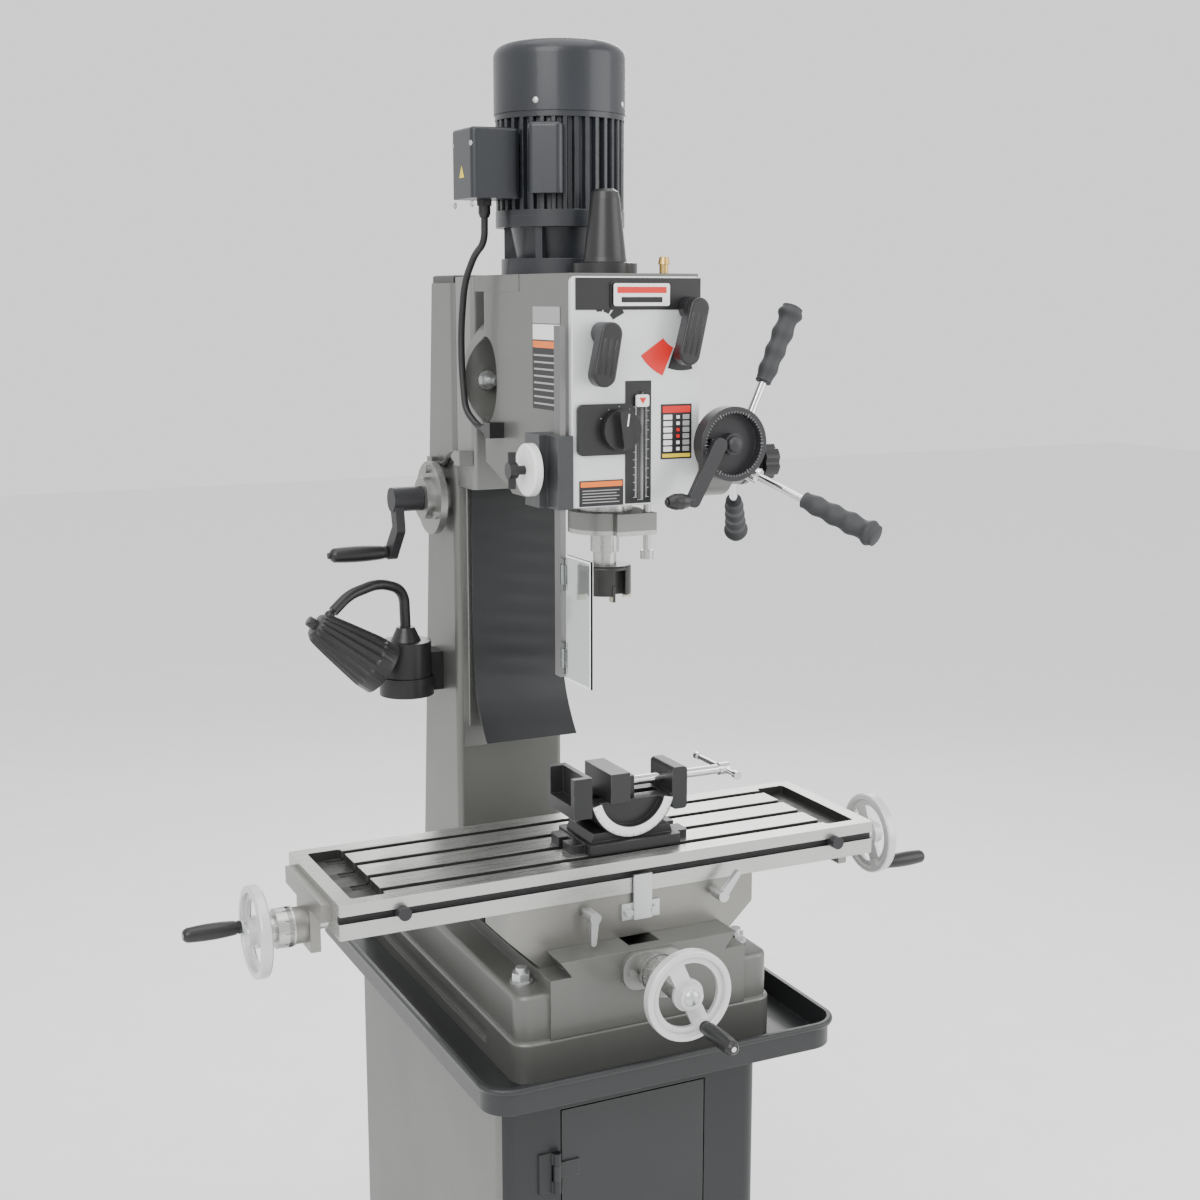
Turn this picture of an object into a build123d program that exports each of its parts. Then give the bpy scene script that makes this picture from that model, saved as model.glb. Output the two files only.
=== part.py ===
"""Geared-head milling and drilling machine on its cabinet stand, in millimetres.

+Z is up, the operator stands on the -Y side and +X is the operator's right. The origin is on the floor, at the
centre of the stand's foot. Every separate piece is one node; identical fasteners share a node.
"""
from build123d import *
import os
from math import cos, hypot, pi, radians, sin, tan

# ---------------------------------------------------------------------------------------------- driving sizes
RUNNING = 0.05            # radial clearance of a shaft in its bore
SLIDE_GAP = 0.1           # clearance between sliding flat faces

# cabinet stand and chip tray
STAND_WIDTH, STAND_DEPTH, STAND_HEIGHT = 410.0, 620.0, 760.0
STAND_WALL, STAND_PLATE, STAND_CORNER = 3.0, 6.0, 22.0
DOOR_WIDTH, DOOR_LOW, DOOR_HIGH, DOOR_THICK = 230.0, 70.0, 690.0, 16.0
ANCHOR_X, ANCHOR_Y, ANCHOR_R = 340.0, 540.0, 7.0
TRAY_WIDTH, TRAY_FRONT, TRAY_BACK, TRAY_HEIGHT = 542.0, -433.0, 350.0, 38.0
TRAY_SHEET, TRAY_RIM, TRAY_CORNER = 2.0, 8.0, 45.0

# base casting and its ways
BASE_WIDTH, BASE_FRONT, BASE_BACK, BASE_HEIGHT = 400.0, -358.0, 315.0, 122.0
BASE_WALL, BASE_STEP, BASE_INSET, BASE_CORNER = 14.0, 57.0, 5.0, 26.0
BLOCK_HALF, WAY_HALF, WAY_ROOT_HALF, WAY_HEIGHT, BLOCK_RISE = 150.0, 135.0, 118.0, 23.0, 42.0
WAY_BACK = 100.0
STUD_X, STUD_FRONT, STUD_BACK, STUD_R = 168.0, -300.0, 250.0, 8.0

# saddle and table
SADDLE_HALF, SADDLE_DEPTH, SADDLE_HEIGHT, SADDLE_CHEEK = 190.0, 236.0, 63.0, 42.0
TABLE_LENGTH, TABLE_WIDTH, TABLE_THICK = 820.0, 240.0, 48.0
TABLE_X, TABLE_Y = -14.0, -190.0
TABLE_DOVE_HALF, TABLE_DOVE_TOP, TABLE_DOVE_HEIGHT = 64.0, 74.0, 14.0
SLOT_PITCH, SLOT_WIDTH, SLOT_HEAD, SLOT_DEPTH, SLOT_LIP = 56.0, 14.0, 23.0, 22.0, 11.0
TROUGH_EDGE, TROUGH_WIDTH, TROUGH_LENGTH, TROUGH_DEPTH = 21.5, 201.0, 47.5, 14.0
GROOVE_DROP, GROOVE_WIDTH, GROOVE_DEPTH = 21.0, 10.0, 7.0
X_SCREW_DROP, X_SCREW_R, Y_SCREW_DROP, Y_SCREW_R = 15.0, 10.0, 28.0, 10.0
END_BRACKET_THICK, END_BRACKET_HALF = 14.0, 32.0
WHEEL_R, WHEEL_RIM, WHEEL_WIDTH = 62.5, 10.0, 16.0
DIAL_R, DIAL_LENGTH = 27.0, 24.0
GRIP_REACH, GRIP_R, GRIP_LENGTH = 50.0, 11.5, 78.0

# column and head slide
COLUMN_HALF, COLUMN_FRONT, COLUMN_HEIGHT, COLUMN_WALL = 90.0, 130.0, 940.0, 12.0
COLUMN_BACK_LOW, COLUMN_BACK_HIGH = 315.0, 227.0
COLUMN_WAY_HALF, COLUMN_WAY_ROOT, COLUMN_WAY_THICK, COLUMN_WAY_FOOT = 80.0, 66.0, 22.0, 255.0
Z_SCREW_Y, Z_SCREW_R = 180.0, 13.0
CRANK_RISE, CRANK_REACH, CRANK_STAND_OFF, CRANK_FLANGE_R = 610.0, 90.0, 14.0, 57.0
SWIVEL_RISE, SWIVEL_R, SWIVEL_FACE = 646.0, 88.0, 38.0
CARRIAGE_LOW, CARRIAGE_HIGH, CARRIAGE_WALL, Z_NUT_RISE = -166.0, 150.0, 8.0, 85.0

# head
HEAD_HALF, HEAD_FRONT, HEAD_LOW, HEAD_HIGH, HEAD_WALL = 95.0, -302.0, -153.0, 151.0, 12.0
HEAD_BACK, HEAD_FLANGE_R, HEAD_TOP_THICK = 0.0, 112.0, 23.0
PANEL_THICK = 8.0
SPINDLE_Y, MOTOR_Y = -214.0, -68.0
QUILL_R, QUILL_TRAVEL, SPINDLE_R, SPLINE_R = 37.5, 127.0, 20.0, 15.0
GEAR_MODULE, GEAR_WIDTH = 2.0, 20.0
PINION_TEETH, IDLER_TEETH, SPINDLE_TEETH = 20, 30, 66
MOTOR_R, ROTOR_R, MOTOR_SHAFT_R = 91.5, 52.0, 12.0
FEED_PINION_R, FEED_DROP, FEED_SHAFT_R = 12.5, 107.0, 10.0
SPOKE_REACH, GRIP_START, SPOKE_SLOPE, SPOKE_R = 215.0, 110.0, 0.52, 6.0
SPOKE_TURN = 6.3
WORM_X, WORM_RISE = 125.0, 34.0

# heights worked out from the sizes above
BASE_Z = STAND_HEIGHT + TRAY_SHEET
PAD_Z = BASE_Z + BASE_HEIGHT
WAY_Z = PAD_Z + BLOCK_RISE
ROOT_Z = WAY_Z - WAY_HEIGHT
TABLE_Z = WAY_Z + SADDLE_HEIGHT
TOP_Z = TABLE_Z + TABLE_THICK
COLUMN_TOP = PAD_Z + COLUMN_HEIGHT
SWIVEL_Z = TOP_Z + SWIVEL_RISE
CRANK_Y, CRANK_Z = Z_SCREW_Y, PAD_Z + CRANK_RISE
X_SCREW_Z = TABLE_Z - X_SCREW_DROP
Y_SCREW_Z = WAY_Z - Y_SCREW_DROP
FEED_Y = SPINDLE_Y - QUILL_R - FEED_PINION_R
FEED_Z = SWIVEL_Z - FEED_DROP
HEAD_Z = (SWIVEL_Z + HEAD_LOW, SWIVEL_Z + HEAD_HIGH)
WORM_Z = FEED_Z + WORM_RISE
PANEL_Y = HEAD_FRONT - PANEL_THICK
LEFT, RIGHT = -1, 1


# ---------------------------------------------------------------------------------------------- small helpers
def block(x, y, z):
    """A box between two ends along each axis."""
    ends = (x, y, z)
    middle = [(low + high) / 2 for low, high in ends]
    return Pos(*middle) * Box(*[high - low for low, high in ends])


def around(middle, half):
    """The two ends of a stretch centred on middle."""
    return (middle - half, middle + half)


def rod(axis, at, radius, ends, end_radius=None):
    """A cylinder or cone along an axis; at holds the other two coordinates in X, Y, Z order."""
    length = ends[1] - ends[0]
    shape = Cylinder(radius, length) if end_radius is None else Cone(radius, end_radius, length)
    middle = (ends[0] + ends[1]) / 2
    turn, place = {
        "x": ((0, 90, 0), (middle, *at)),
        "y": ((-90, 0, 0), (at[0], middle, at[1])),
        "z": ((0, 0, 0), (*at, middle)),
    }[axis]
    return Pos(*place) * Rot(*turn) * shape


def ring(axis, at, radius, bore, ends):
    """A tube along an axis."""
    return rod(axis, at, radius, ends) - rod(axis, at, bore, ends)


def prism(axis, points, ends):
    """An outline in the plane across an axis, drawn between two ends along it."""
    plane = {
        "x": Plane(origin=(ends[0], 0, 0), x_dir=(0, 1, 0), z_dir=(1, 0, 0)),
        "y": Plane(origin=(0, ends[1], 0), x_dir=(1, 0, 0), z_dir=(0, -1, 0)),
        "z": Plane(origin=(0, 0, ends[0]), x_dir=(1, 0, 0), z_dir=(0, 0, 1)),
    }[axis]
    outline = make_face(Polyline(*points, close=True))
    return extrude(plane * outline, ends[1] - ends[0])


def slab(x, y, z, corner):
    """A box with rounded vertical corners."""
    shape = extrude(RectangleRounded(x[1] - x[0], y[1] - y[0], corner), z[1] - z[0])
    return Pos((x[0] + x[1]) / 2, (y[0] + y[1]) / 2, z[0]) * shape


def plate(x, y, z, corner):
    """A plate that faces along Y, with its four corners rounded."""
    shape = extrude(RectangleRounded(x[1] - x[0], z[1] - z[0], corner), y[1] - y[0])
    place = Plane(origin=((x[0] + x[1]) / 2, y[1], (z[0] + z[1]) / 2), x_dir=(1, 0, 0), z_dir=(0, -1, 0))
    return place.location * shape


def lathe(profile, origin, direction):
    """A turned piece: (radius, height) points turned about a line from origin along direction."""
    outline = make_face(Plane.XZ * Polyline(*profile, close=True))
    return Plane(origin=origin, z_dir=direction).location * revolve(outline, Axis.Z)


def group(*shapes):
    """Several separate solids that share one node."""
    return Compound(children=[solid for shape in shapes for solid in shape.solids()])


def ends_from(start, *steps):
    """Running positions along an axis, from a start and the steps that follow it."""
    places = [start]
    for step in steps:
        places.append(places[-1] + step)
    return places


# ---------------------------------------------------------------------------------------------- stand and tray
def stand_cabinet():
    half_x, half_y = STAND_WIDTH / 2, STAND_DEPTH / 2
    outer = slab((-half_x, half_x), (-half_y, half_y), (0, STAND_HEIGHT), STAND_CORNER)
    inner = slab(
        (-half_x + STAND_WALL, half_x - STAND_WALL),
        (-half_y + STAND_WALL, half_y - STAND_WALL),
        (STAND_PLATE, STAND_HEIGHT - STAND_PLATE),
        STAND_CORNER - STAND_WALL,
    )
    opening = block(around(0, DOOR_WIDTH / 2), around(-half_y, DOOR_THICK), (DOOR_LOW, DOOR_HIGH))
    cabinet = outer - inner - opening
    for x in (-ANCHOR_X / 2, ANCHOR_X / 2):
        for y in (-ANCHOR_Y / 2, ANCHOR_Y / 2):
            cabinet -= rod("z", (x, y), ANCHOR_R, (0, STAND_PLATE))
    for x, y in stud_places():
        cabinet -= rod("z", (x, y), STUD_R + RUNNING, (STAND_HEIGHT - STAND_PLATE, STAND_HEIGHT))
    return cabinet + door_hinges()


HINGE_X = -DOOR_WIDTH / 2 - 8.0
HINGE_Y = -STAND_DEPTH / 2 - 6.0
HINGE_HEIGHTS = (DOOR_LOW + 90, DOOR_HIGH - 90)


def stand_door():
    gap = 2.0
    half, front = DOOR_WIDTH / 2 - gap, -STAND_DEPTH / 2
    pan = block((-half, half), (front, front + DOOR_THICK - gap), (DOOR_LOW + gap, DOOR_HIGH - gap))
    pan -= block(
        (-half + STAND_WALL, half - STAND_WALL),
        (front + STAND_WALL, front + DOOR_THICK),
        (DOOR_LOW + gap + STAND_WALL, DOOR_HIGH - gap - STAND_WALL),
    )
    for z in HINGE_HEIGHTS:
        pan += block((HINGE_X, -half + 26), (front - 3, front), (z - 12, z + 12))
        pan += rod("z", (HINGE_X, HINGE_Y), 6, (z - 12, z + 12))
        pan -= rod("z", (HINGE_X, HINGE_Y), 3 + RUNNING, (z - 12, z + 12))
    return pan


def door_hinges():
    """The welded hinge leaves and their pins."""
    leaves = Part()
    front = -STAND_DEPTH / 2
    for z in HINGE_HEIGHTS:
        leaf = block((HINGE_X - 26, HINGE_X - 6.5), (front - 3, front), (z - 30, z + 30))
        for low in (z - 30, z + 12.5):
            leaf += block((HINGE_X - 8, HINGE_X), (front - 6, front), (low, low + 17.5))
            leaf += rod("z", (HINGE_X, HINGE_Y), 6, (low, low + 17.5))
        leaves += leaf + rod("z", (HINGE_X, HINGE_Y), 3, (z - 30, z + 30))
    return leaves


def stud_places():
    return [(x, y) for x in (-STUD_X, STUD_X) for y in (STUD_FRONT, STUD_BACK)]


def chip_tray():
    x, y = (-TRAY_WIDTH / 2, TRAY_WIDTH / 2), (TRAY_FRONT, TRAY_BACK)
    low, high = STAND_HEIGHT, STAND_HEIGHT + TRAY_HEIGHT
    inner_x = (x[0] + TRAY_RIM, x[1] - TRAY_RIM)
    inner_y = (y[0] + TRAY_RIM, y[1] - TRAY_RIM)
    outer_x = (inner_x[0] - TRAY_SHEET, inner_x[1] + TRAY_SHEET)
    outer_y = (inner_y[0] - TRAY_SHEET, inner_y[1] + TRAY_SHEET)
    pan = slab(outer_x, outer_y, (low, high), TRAY_CORNER - TRAY_RIM + TRAY_SHEET)
    rim = slab(x, y, (high - TRAY_RIM, high), TRAY_CORNER)
    rim = fillet(rim.edges().group_by(Axis.Z)[-1] + rim.edges().group_by(Axis.Z)[0], TRAY_RIM * 0.42)
    pan = pan + rim - slab(inner_x, inner_y, (low + TRAY_SHEET, high), TRAY_CORNER - TRAY_RIM)
    for place in stud_places():
        pan -= rod("z", place, STUD_R + RUNNING, (low, low + TRAY_SHEET))
    return pan


# ---------------------------------------------------------------------------------------------- base and column
def base_casting():
    half = BASE_WIDTH / 2
    foot = slab((-half, half), (BASE_FRONT, BASE_BACK), (BASE_Z, BASE_Z + BASE_STEP), BASE_CORNER)
    foot = fillet(foot.edges().group_by(Axis.Z)[-1], 4)
    body_x = (-half + BASE_INSET, half - BASE_INSET)
    body_y = (BASE_FRONT + BASE_INSET, BASE_BACK - BASE_INSET)
    body = slab(body_x, body_y, (BASE_Z + BASE_STEP - 6, PAD_Z), BASE_CORNER - BASE_INSET)
    body = fillet(body.edges().group_by(Axis.Z)[-1], 7)
    shoulder = block((-BLOCK_HALF, BLOCK_HALF), (BASE_FRONT, WAY_BACK), (BASE_Z + BASE_STEP, ROOT_Z))
    dovetail = [(-WAY_ROOT_HALF, ROOT_Z), (-WAY_HALF, WAY_Z), (WAY_HALF, WAY_Z), (WAY_ROOT_HALF, ROOT_Z)]
    casting = foot + body + shoulder + prism("y", dovetail, (BASE_FRONT, WAY_BACK))
    wall = BASE_WALL
    hollow_x = (-half + BASE_INSET + wall, half - BASE_INSET - wall)
    casting -= block(hollow_x, (body_y[0] + wall, body_y[1] - wall), (BASE_Z, PAD_Z - wall))
    casting -= block(around(0, Y_NUT_HALF + 4), (body_y[0] + wall, WAY_BACK - 18), (BASE_Z, WAY_Z))
    casting -= block(around(0, COLUMN_HALF - 25), (COLUMN_FRONT + 30, BASE_BACK - 55), (PAD_Z - wall, PAD_Z))
    casting -= rod("y", (0, Y_SCREW_Z), Y_SCREW_R + 1, (BASE_FRONT, BASE_FRONT + BASE_INSET + wall))
    recess = (BASE_Z + 18, BASE_Z + 40)
    for side in (LEFT, RIGHT):
        x = tuple(sorted((side * (half - 6), side * half)))
        casting -= block(x, (BASE_FRONT + 110, BASE_BACK - 70), recess)
    for x, y in stud_places():
        boss = rod("z", (x, y), STUD_R + 10, (BASE_Z, PAD_Z - 4))
        casting += boss & slab(body_x, body_y, (BASE_Z, PAD_Z), BASE_CORNER - BASE_INSET)
        casting -= rod("z", (x, y), STUD_R, (BASE_Z, PAD_Z))
    return casting


Y_NUT_HALF = 20.0


def base_studs():
    studs = []
    for place in stud_places():
        stud = rod("z", place, STUD_R, (STAND_HEIGHT - STAND_PLATE, PAD_Z + 22))
        washer = ring("z", place, STUD_R + 8, STUD_R, (PAD_Z, PAD_Z + 3))
        nut = Pos(*place, PAD_Z + 3) * extrude(RegularPolygon(STUD_R * 1.7, 6), 12)
        studs.append(stud + washer + nut)
    return group(*studs)


def column():
    low, high = PAD_Z, COLUMN_TOP
    side = [(COLUMN_FRONT, low), (COLUMN_FRONT, high), (COLUMN_BACK_HIGH, high), (COLUMN_BACK_LOW - 8, low)]
    body = prism("x", side, (-COLUMN_HALF, COLUMN_HALF))
    upright = [edge for edge in body.edges() if abs(edge.tangent_at(0.5).Z) > 0.9]
    body = fillet(upright, 10)
    wall = COLUMN_WALL
    cavity = [
        (COLUMN_FRONT + wall + 6, low),
        (COLUMN_FRONT + wall + 6, high - wall),
        (COLUMN_BACK_HIGH - wall, high - wall),
        (COLUMN_BACK_LOW - 8 - wall, low),
    ]
    body -= prism("x", cavity, (-COLUMN_HALF + wall, COLUMN_HALF - wall))
    ways = [
        (-COLUMN_WAY_ROOT, COLUMN_FRONT + 1),
        (-COLUMN_WAY_ROOT, COLUMN_FRONT),
        (-COLUMN_WAY_HALF, COLUMN_FRONT - COLUMN_WAY_THICK),
        (COLUMN_WAY_HALF, COLUMN_FRONT - COLUMN_WAY_THICK),
        (COLUMN_WAY_ROOT, COLUMN_FRONT),
        (COLUMN_WAY_ROOT, COLUMN_FRONT + 1),
    ]
    body += prism("z", ways, (low + COLUMN_WAY_FOOT, high))
    slot_z = (low + COLUMN_WAY_FOOT + 30, high - 16)
    body -= block(around(0, Z_NUT_HALF + 3), (COLUMN_FRONT - COLUMN_WAY_THICK - 1, COLUMN_FRONT + 20), slot_z)
    body -= rod("x", (CRANK_Y, CRANK_Z), CRANK_SHAFT_R + RUNNING, (-COLUMN_HALF - 1, -COLUMN_HALF + wall + 1))
    return body


Z_NUT_HALF = 20.0
CRANK_SHAFT_R = 9.0


def column_cap():
    y = (COLUMN_FRONT + 4, COLUMN_BACK_HIGH - 4)
    cap = block((-COLUMN_HALF + 4, COLUMN_HALF - 4), y, (COLUMN_TOP, COLUMN_TOP + 12))
    return fillet(cap.edges().group_by(Axis.Z)[-1], 4)


def way_cover():
    """Flexible rubber sheet that keeps chips off the column ways, curling out at its foot."""
    top, low = SWIVEL_Z + CARRIAGE_LOW - 2, PAD_Z + COLUMN_WAY_FOOT - 14
    y = COLUMN_FRONT - COLUMN_WAY_THICK
    back = [(y - 8, top), (y - 8, low + 130), (y - 22, low + 62), (y - 62, low)]
    front = [(py - 3, pz) for py, pz in reversed(back)]
    return prism("x", back + front, (-COLUMN_WAY_HALF + 4, COLUMN_WAY_HALF - 4))


def z_crank_bracket():
    """The crank's bearing: a boss on the column's side and a round flange that stands clear of it."""
    face = -COLUMN_HALF - CRANK_STAND_OFF
    at = (CRANK_Y, CRANK_Z)
    bearing = rod("x", at, 30, (face, -COLUMN_HALF)) + rod("x", at, CRANK_FLANGE_R, (face - 11, face))
    bearing += rod("x", at, 33, (face - 24, face - 11))
    for turn in (90, 210, 330):
        y, z = CRANK_Y + 45 * cos(radians(turn)), CRANK_Z + 45 * sin(radians(turn))
        bearing += rod("x", (y, z), 6, (face - 17, face - 11))
    return bearing - rod("x", at, CRANK_SHAFT_R + RUNNING, (face - 25, -COLUMN_HALF + 1))


CRANK_ARM_X = -COLUMN_HALF - 78.0
CRANK_END = (CRANK_Y + CRANK_REACH * sin(radians(18)), CRANK_Z - CRANK_REACH * cos(radians(18)))


def z_crank():
    arm_x = (CRANK_ARM_X - 7, CRANK_ARM_X + 7)
    shaft = rod("x", (CRANK_Y, CRANK_Z), CRANK_SHAFT_R, (arm_x[0], -COLUMN_HALF + 60))
    hub = rod("x", (CRANK_Y, CRANK_Z), 19, (arm_x[0] - 2, -COLUMN_HALF - CRANK_STAND_OFF - 24.5))
    middle = (CRANK_Y - 9, CRANK_Z - CRANK_REACH * 0.5)
    arm = limb("x", (CRANK_Y, CRANK_Z), middle, 13, 11, arm_x) + limb("x", middle, CRANK_END, 11, 12, arm_x)
    bolt = rod("x", CRANK_END, 5, (CRANK_ARM_X - 104, CRANK_ARM_X))
    return shaft + hub + arm + bolt


def limb(axis, start, end, start_r, end_r, ends):
    """A flat arm with round ends, tapered between two places in the plane across an axis."""
    du, dv = end[0] - start[0], end[1] - start[1]
    length = hypot(du, dv)
    nu, nv = -dv / length, du / length
    outline = [
        (start[0] + nu * start_r, start[1] + nv * start_r),
        (end[0] + nu * end_r, end[1] + nv * end_r),
        (end[0] - nu * end_r, end[1] - nv * end_r),
        (start[0] - nu * start_r, start[1] - nv * start_r),
    ]
    return prism(axis, outline, ends) + rod(axis, start, start_r, ends) + rod(axis, end, end_r, ends)


def grip(origin, direction, length, radius, bore):
    """A barrel-shaped turning grip on its bolt; origin is the end against the arm."""
    profile = [
        (bore + RUNNING, 0),
        (radius * 0.78, 0),
        (radius, length * 0.3),
        (radius, length * 0.62),
        (radius * 0.86, length - 6),
        (radius * 0.62, length),
        (bore + RUNNING, length),
    ]
    return lathe(profile, origin, direction)


def z_crank_grip():
    return grip((CRANK_ARM_X - 8, *CRANK_END), (-1, 0, 0), 92, 13, 5)


def z_screw():
    """The vertical screw, with the bevel wheel that the crank turns it through."""
    screw = rod("z", (0, Z_SCREW_Y), Z_SCREW_R, (PAD_Z + COLUMN_WAY_FOOT - 20, COLUMN_TOP - COLUMN_WALL - 1))
    return screw + rod("z", (0, Z_SCREW_Y), 26, (CRANK_Z - 60, CRANK_Z - 40), 34)


# ------------------------------------------------------------------------------------------ saddle and table
SADDLE_Y = (TABLE_Y - SADDLE_DEPTH / 2, TABLE_Y + SADDLE_DEPTH / 2)
TABLE_ENDS = (TABLE_X - TABLE_LENGTH / 2, TABLE_X + TABLE_LENGTH / 2)
TABLE_SIDES = (TABLE_Y - TABLE_WIDTH / 2, TABLE_Y + TABLE_WIDTH / 2)


def saddle():
    gap = SLIDE_GAP
    low = ROOT_Z + gap
    outline = [
        (-SADDLE_HALF, TABLE_Z - gap),
        (-SADDLE_HALF, TABLE_Z - SADDLE_CHEEK),
        (-BLOCK_HALF + 6, low),
        (-WAY_ROOT_HALF - gap * 2, low),
        (-WAY_HALF - gap * 2, WAY_Z + gap),
        (WAY_HALF + gap * 2, WAY_Z + gap),
        (WAY_ROOT_HALF + gap * 2, low),
        (BLOCK_HALF - 6, low),
        (SADDLE_HALF, TABLE_Z - SADDLE_CHEEK),
        (SADDLE_HALF, TABLE_Z - gap),
    ]
    body = prism("y", outline, SADDLE_Y)
    dovetail = [
        (TABLE_Y - TABLE_DOVE_HALF, TABLE_Z - 1),
        (TABLE_Y - TABLE_DOVE_HALF, TABLE_Z),
        (TABLE_Y - TABLE_DOVE_TOP, TABLE_Z + TABLE_DOVE_HEIGHT),
        (TABLE_Y + TABLE_DOVE_TOP, TABLE_Z + TABLE_DOVE_HEIGHT),
        (TABLE_Y + TABLE_DOVE_HALF, TABLE_Z),
        (TABLE_Y + TABLE_DOVE_HALF, TABLE_Z - 1),
    ]
    body += prism("x", dovetail, (-SADDLE_HALF, SADDLE_HALF))
    channel = X_SCREW_R + 8
    dove_top = TABLE_Z + TABLE_DOVE_HEIGHT
    body -= block((-SADDLE_HALF, SADDLE_HALF), around(TABLE_Y, channel), (X_SCREW_Z - channel, dove_top))
    pocket = END_BRACKET_HALF + 4
    for side in (LEFT, RIGHT):
        x = tuple(sorted((side * (SADDLE_HALF - 44), side * SADDLE_HALF)))
        body -= block(x, around(TABLE_Y, pocket), (X_SCREW_Z - 34, dove_top))
    for x in LOCK_PLACES:
        body -= rod("y", (x, LOCK_Z), LOCK_STUD_R + RUNNING, (SADDLE_Y[0], SADDLE_Y[0] + 30))
    return body


LOCK_PLACES = (-75.0, 125.0)
LOCK_Z = TABLE_Z - 16.0
LOCK_STUD_R = 5.0


def lock_lever(x):
    """A clamping lever: a stud in the saddle, a hub and a tapered handle up to the right."""
    front = SADDLE_Y[0]
    stud = rod("y", (x, LOCK_Z), LOCK_STUD_R, (front - 8, front + 28))
    stud += rod("y", (x, LOCK_Z), 8, (front - 34, front - 8))
    tip = (x + 24, LOCK_Z + 30) if x > 0 else (x - 2, LOCK_Z - 36)
    return stud + limb("y", (x, LOCK_Z), tip, 6, 4, (front - 32, front - 24))


def stop_bracket():
    front = SADDLE_Y[0]
    foot = block((-21, 38), (front - 4, front), (TABLE_Z - 38, TABLE_Z - 14))
    tab = block((-4, 24), (front - 8, front - 4), (TABLE_Z - 38, TABLE_Z + 27))
    for x in (-11, 29):
        foot += rod("y", (x, TABLE_Z - 27), 6, (front - 9, front - 4))
    return foot + tab


def screw_nut(axis):
    """The bronze nut of a table screw, fixed in the saddle."""
    if axis == "x":
        nut = block((-34, 34), around(TABLE_Y, X_SCREW_R + 8), (X_SCREW_Z - X_SCREW_R - 8, TABLE_Z - 1))
        return nut - rod("x", (TABLE_Y, X_SCREW_Z), X_SCREW_R + RUNNING, (-35, 35))
    nut = block(around(0, Y_NUT_HALF), around(TABLE_Y, 24), (Y_SCREW_Z - Y_SCREW_R - 9, WAY_Z + SLIDE_GAP))
    return nut - rod("y", (0, Y_SCREW_Z), Y_SCREW_R + RUNNING, (TABLE_Y - 25, TABLE_Y + 25))


def table():
    gap = SLIDE_GAP
    body = block(TABLE_ENDS, TABLE_SIDES, (TABLE_Z, TOP_Z))
    body = fillet(body.edges().filter_by(Axis.Z), 3)
    female = [
        (TABLE_Y - TABLE_DOVE_HALF - 2 * gap, TABLE_Z - 1),
        (TABLE_Y - TABLE_DOVE_HALF - 2 * gap, TABLE_Z),
        (TABLE_Y - TABLE_DOVE_TOP - 2 * gap, TABLE_Z + TABLE_DOVE_HEIGHT + gap),
        (TABLE_Y + TABLE_DOVE_TOP + 2 * gap, TABLE_Z + TABLE_DOVE_HEIGHT + gap),
        (TABLE_Y + TABLE_DOVE_HALF + 2 * gap, TABLE_Z),
        (TABLE_Y + TABLE_DOVE_HALF + 2 * gap, TABLE_Z - 1),
    ]
    body -= prism("x", female, TABLE_ENDS)
    troughs = (TABLE_ENDS[0] + TROUGH_EDGE, TABLE_ENDS[1] - TROUGH_EDGE)
    slots = (troughs[0] + TROUGH_LENGTH / 2, troughs[1] - TROUGH_LENGTH / 2)
    for index in range(4):
        y = TABLE_Y + (index - 1.5) * SLOT_PITCH
        body -= block(slots, around(y, SLOT_WIDTH / 2), (TOP_Z - SLOT_DEPTH, TOP_Z))
        body -= block(slots, around(y, SLOT_HEAD / 2), (TOP_Z - SLOT_DEPTH, TOP_Z - SLOT_LIP))
    for low in (troughs[0], troughs[1] - TROUGH_LENGTH):
        x, y = (low, low + TROUGH_LENGTH), around(TABLE_Y, TROUGH_WIDTH / 2)
        body -= slab(x, y, (TOP_Z - TROUGH_DEPTH, TOP_Z), 5)
    groove_y = (TABLE_SIDES[0], TABLE_SIDES[0] + GROOVE_DEPTH)
    return body - block(TABLE_ENDS, groove_y, around(TOP_Z - GROOVE_DROP, GROOVE_WIDTH / 2))


STOP_PLACES = (-339.0, 328.0)


def table_stop(x):
    """A knurled stop screw and its nut in the groove along the table's front."""
    z, face = TOP_Z - GROOVE_DROP, TABLE_SIDES[0]
    nut = block(around(x, 9), (face + 0.5, face + GROOVE_DEPTH - 0.5), around(z, GROOVE_WIDTH / 2 - 0.4))
    return nut + rod("y", (x, z), 9, (face - 12, face - 0.5)) + rod("y", (x, z), 4, (face - 0.5, face + 0.5))


def end_bracket(side):
    """The bearing bracket under the table's end that carries the long screw."""
    face = TABLE_ENDS[0] if side == LEFT else TABLE_ENDS[1]
    x = tuple(sorted((face, face + side * END_BRACKET_THICK)))
    shoulder = TABLE_Z + TABLE_DOVE_HEIGHT + 2
    body = block(x, around(TABLE_Y, TABLE_WIDTH / 2 - 34), (shoulder, TOP_Z - 8))
    body += block(x, around(TABLE_Y, END_BRACKET_HALF), (X_SCREW_Z - 30, shoulder))
    nose = tuple(sorted((x[0] if side == LEFT else x[1], face + side * (END_BRACKET_THICK + 16))))
    body += rod("x", (TABLE_Y, X_SCREW_Z), 25, nose)
    hole = (min(x[0], nose[0]) - 1, max(x[1], nose[1]) + 1)
    return body - rod("x", (TABLE_Y, X_SCREW_Z), X_SCREW_R - 2 + RUNNING, hole)


X_WHEEL_GAP = 87.0
X_BACKS = {
    LEFT: TABLE_ENDS[0] - X_WHEEL_GAP + WHEEL_WIDTH,
    RIGHT: TABLE_ENDS[1] + X_WHEEL_GAP - WHEEL_WIDTH,
}


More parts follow.
